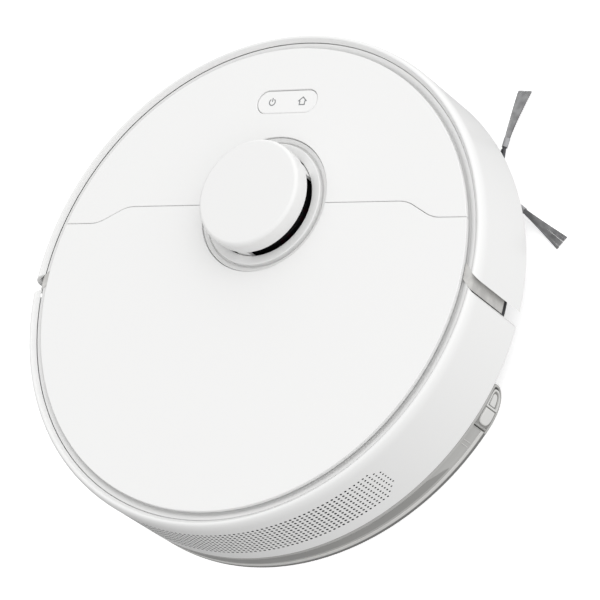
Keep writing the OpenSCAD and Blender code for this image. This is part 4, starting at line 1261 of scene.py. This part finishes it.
def build_wheels():
    """Rubber tyres on spoked hubs, each dished on its outer face round a steel axle's end."""
    for name, side in (("right", 90), ("left", -90)):
        low, high = box(f"tyre_{name}")
        centre = (low + high) / 2
        width = high.x - low.x
        build_tyre(name, centre, (high.z - low.z) / 2, width / 2)
        half = width / 2 - 0.4
        ring = [(28.9, -half), (28.9, half - 0.8), (28.1, half), (25.6, half), (24.8, half - 0.8),
                (24.4, half - 5), (24.4, -half)]
        bm = lathe(ring, 96)
        dish = [(24.6, half - 5.4), (24.6, half - 4.2), (9.5, half - 3.6), (9, half - 1),
                (8.2, half - 0.3), (3.4, half - 0.3), (3.2, half - 1.2), (3.2, -half + 2),
                (9, -half + 2), (9.4, half - 5.8)]
        lathe(dish, 96, bm=bm)
        for n in range(SPOKES):
            spoke = box_bm((8, -2.2, half - 4.4), (25, 2.2, half - 1.6), 0.7)
            join_bm(bm, spoke, Matrix.Rotation(n * 360 / SPOKES * DEG, 4, "Z"))
        moved(bm, Matrix.Translation(centre) @ Matrix.Rotation(side * DEG, 4, "Y"))
        make_piece(f"wheel_{name}_hub", bm, f"wheel_{name}", M_WHEEL_HUB, f"wheel_hub_{name}")


def build_caster_wheel():
    """Two-tone roller: pale sides with a rubber band between them."""
    low, high = box("caster_wheel")
    radius = (high.z - low.z) / 2
    half = (high.x - low.x) / 2
    place = Matrix.Translation((low + high) / 2) @ Matrix.Rotation(90 * DEG, 4, "Y")
    band = [(radius - 2.4, -4), (radius - 0.5, -4), (radius - 0.05, -3.4), (radius, -1), (radius, 1),
            (radius - 0.05, 3.4), (radius - 0.5, 4), (radius - 2.4, 4)]
    make_piece("caster_band", moved(lathe(band, 72), place), "caster_roller", M_TYRE, "caster_wheel")
    cheek = [(2, 3), (radius - 1, 3), (radius - 0.6, 4.4), (radius - 1.4, half - 0.8),
             (radius - 2.4, half), (5, half), (4.4, half - 0.8), (2, half - 0.8)]
    bm = bmesh.new()
    for side in (-1, 1):
        lathe([(r, z * side) for r, z in cheek], 72, bm=bm)
    make_piece("caster_cheeks", moved(bm, place), "caster_roller", M_CASTER, "caster_wheel")


def build_main_brush():
    """Main roller: swept rubber blades between rows of bristle tufts."""
    low, high = box("brush_blades")
    centre = (low + high) / 2
    tip = (high.z - low.z) / 2 - 0.05
    root = 9.2
    half = (high.x - low.x) / 2 - 0.5
    sweep = 58 * DEG
    bend = 0.006
    columns = 56
    tufts = 34
    hairs = 9

    def lean(x):
        """Twist of a row at a place along the roller, in a V about its middle."""
        return sweep * abs(x) / half

    flank = [(root, 6), (12, 4), (17, 2.2), (tip, 1.6)]
    blade = [(r, -spread) for r, spread in flank] + flank[::-1]
    bm = bmesh.new()
    for row in range(3):
        rings = []
        for i in range(columns + 1):
            x = -half + 2 * half * i / columns
            turn = row * 120 * DEG + lean(x)
            rings.append([bm.verts.new(around_x(centre, x, r, turn + spread * DEG + (r - root) * bend))
                          for r, spread in blade])
        grid_faces(bm, rings)
        cap_ends(bm, rings)
    make_piece("brush_fins", bm, "main_brush", M_BLADE, "brush_blades")

    bm = bmesh.new()
    draw = random.Random(3)
    for row in range(3):
        for n in range(tufts):
            x0 = -half + 2 * half * (n + 0.5) / tufts
            a0 = (row * 120 + 60) * DEG + lean(x0)
            for _ in range(hairs):
                a = a0 + draw.uniform(-2.2, 2.2) * DEG
                x = x0 + draw.uniform(-0.8, 0.8)
                turn = draw.uniform(-3.5, 3.5) * DEG
                shift = draw.uniform(-1.3, 1.3)
                length = tip - draw.uniform(0, 0.5) - root
                points = [around_x(centre, x + shift * t, root + length * t, a + turn * t)
                          for t in (0, 0.5, 1)]
                hair(bm, points, 0.16)
    make_piece("brush_bristles", bm, "main_brush", M_BRISTLE, "brush_blades", crease=80)


# ---------- CAD parts that stay, with rounded edges and finishes ----------

# how each CAD part that stays is finished: its material and the width of its rounded edges, in millimetres
KEPT = {
    "bottom_housing": (M_CHASSIS, 0.4),
    "mid_frame": (M_DARK, 0.3),
    "exhaust_foam": (M_FOAM, 0.0),
    "lidar_base": (M_INNER, 0.3),
    "lidar_motor": (M_MOTOR, 0.3),
    "lidar_belt": (M_BELT, 0.0),
    "lid_hinge_pins": (M_STEEL, 0.1),
    "bay_panel": (M_INNER, 0.4),
    "brush_tunnel": (M_INNER, 0.3),
    "brush_guard": (M_GUARD, 0.4),
    "brush_motor": (M_MOTOR, 0.4),
    "side_brush_gearbox": (M_HOUSING, 0.5),
    "battery_pack": (M_BATTERY, 1.0),
    "battery_cover": (M_HOUSING, 0.3),
    "main_board": (M_BOARD, 0.1),
    "charging_contacts": (M_BRASS, 0.3),
    "cliff_sensors": (M_BLACK_GLOSS, 0.3),
    "dustbin": (M_BIN, 0.5),
    "dustbin_lid": (M_BIN_LID, 0.5),
    "hepa_filter": (M_FILTER, 0.1),
    "fan_housing": (M_HOUSING, 0.4),
    "wheel_housings": (M_CHASSIS, 0.3),
    "suspension_pins": (M_STEEL, 0.2),
    "suspension_spring_left": (M_STEEL, 0.0),
    "suspension_spring_right": (M_STEEL, 0.0),
    "bumper_sensors": (M_BLACK_GLOSS, 0.3),
    "key_board": (M_BOARD, 0.1),
    "speaker": (M_HOUSING, 0.3),
    "underside_screws": (M_SCREW, 0.1),
    "lid_hinge_arms": (M_ARM, 0.3),
    "lidar_pulley": (M_CASTER, 0.1),
    "gearbox_left": (M_HOUSING, 0.5),
    "gearbox_right": (M_HOUSING, 0.5),
    "caster_fork": (M_HOUSING, 0.4),
    "brush_core": (M_CORE, 0.4),
    "fan_impeller": (M_IMPELLER, 0.1),
    "tank_plug": (M_TYRE, 0.3),
}


def dress_kept_parts():
    """Gives each CAD part that stays its finish and rounded edges."""
    for node, (material, width) in KEPT.items():
        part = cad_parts[node]
        part.data.materials.clear()
        part.data.materials.append(material)
        weld = part.modifiers.new("weld", "WELD")
        weld.merge_threshold = 0.002 * MM
        if width > 0:
            bevel = part.modifiers.new("rounded edges", "BEVEL")
            bevel.width = width * MM
            bevel.segments = 2
            bevel.limit_method = "ANGLE"
            bevel.angle_limit = 35 * DEG
            bevel.harden_normals = False


# ---------- stage ----------

# soft sky: its level, and how much brighter it gets towards each axis
SKY_LEVEL = 0.78
SKY_SLOPE = (0.33, 0.15, 0.35)
KEY_POWER = 4
FILL_POWER = 3


def soft_box(name, power, place):
    """A large soft lamp aimed at the robot."""
    light = bpy.data.lights.new(name, "AREA")
    light.shape = "RECTANGLE"
    light.size, light.size_y = 1.6, 1.2
    light.energy = power
    lamp = add_object(name, light)
    lamp.location = place
    lamp.rotation_euler = (-lamp.location).to_track_quat("-Z", "Y").to_euler()


def build_stage():
    """A plain pale floor and soft studio light that is strongest from above and from the right.

    The floor only shows from above and throws no light back, as under a product on a light table."""
    floor_z = -10.1 * MM
    bm = bmesh.new()
    bmesh.ops.create_circle(bm, cap_ends=True, radius=6, segments=96)
    moved(bm, Matrix.Translation((0, 0, floor_z)))
    mesh = bpy.data.meshes.new("floor")
    bm.to_mesh(mesh)
    bm.free()
    floor = add_object("floor", mesh)
    floor.visible_diffuse = False
    floor.visible_glossy = False
    floor.visible_shadow = False
    s = Shader("floor_paper")
    s.set(Base_Color=s.ramp(s.noise(3, 2), 0.3, (0.93, 0.93, 0.93), 0.7, (0.95, 0.95, 0.95)),
          Roughness=0.9, Emission_Color=(1, 1, 1, 1), Emission_Strength=0.6)
    clear = s.nodes.new("ShaderNodeBsdfTransparent")
    mix = s.nodes.new("ShaderNodeMixShader")
    side = s.nodes.new("ShaderNodeNewGeometry")
    s.links.new(side.outputs["Backfacing"], mix.inputs["Fac"])
    s.links.new(s.surface.outputs["BSDF"], mix.inputs[1])
    s.links.new(clear.outputs["BSDF"], mix.inputs[2])
    s.links.new(mix.outputs["Shader"], s.nodes["Material Output"].inputs["Surface"])
    mesh.materials.append(s.material)

    world = bpy.data.worlds.new("studio")
    bpy.context.scene.world = world
    world.use_nodes = True
    nodes, links = world.node_tree.nodes, world.node_tree.links
    direction = nodes.new("ShaderNodeTexCoord").outputs["Generated"]
    slope = nodes.new("ShaderNodeVectorMath")
    slope.operation = "DOT_PRODUCT"
    slope.inputs[1].default_value = SKY_SLOPE
    links.new(direction, slope.inputs[0])
    level = nodes.new("ShaderNodeMath")
    level.operation = "ADD"
    level.inputs[1].default_value = SKY_LEVEL
    links.new(slope.outputs["Value"], level.inputs[0])
    sky = nodes["Background"]
    sky.inputs["Color"].default_value = (1, 1, 1, 1)
    links.new(level.outputs["Value"], sky.inputs["Strength"])

    soft_box("key", KEY_POWER, (1.5, 1.2, 2.0))
    soft_box("front_fill", FILL_POWER, (-0.68, 1.88, 0.25))


def place_camera():
    """Looks down on the robot's rear right, a little rolled, from about 2.6 m."""
    forward = Vector((-0.55717, 0.31487, -0.76838))
    up = Vector((0.00368, 0.92625, 0.37689))
    right = forward.cross(up).normalized()
    up = right.cross(forward)
    data = bpy.data.cameras.new("camera")
    data.lens = 238.8
    data.sensor_width = 36
    data.clip_end = 20
    camera = add_object("camera", data)
    rotation = Matrix((right, up, -forward)).transposed().to_4x4()
    camera.matrix_world = Matrix.Translation((1.47676, -0.82634, 2.04372)) @ rotation
    bpy.context.scene.camera = camera


build_bumper()
build_window()
build_rear_shell()
build_end_seals()
build_rim()
build_front_cover()
build_rear_lid()
build_keys()
build_turret()
build_rotor()
build_side_brush()
build_tank()
build_latches()
build_mop()
build_wheels()
build_caster_wheel()
build_main_brush()
dress_kept_parts()
build_stage()
place_camera()

bpy.context.scene.view_settings.view_transform = "Standard"
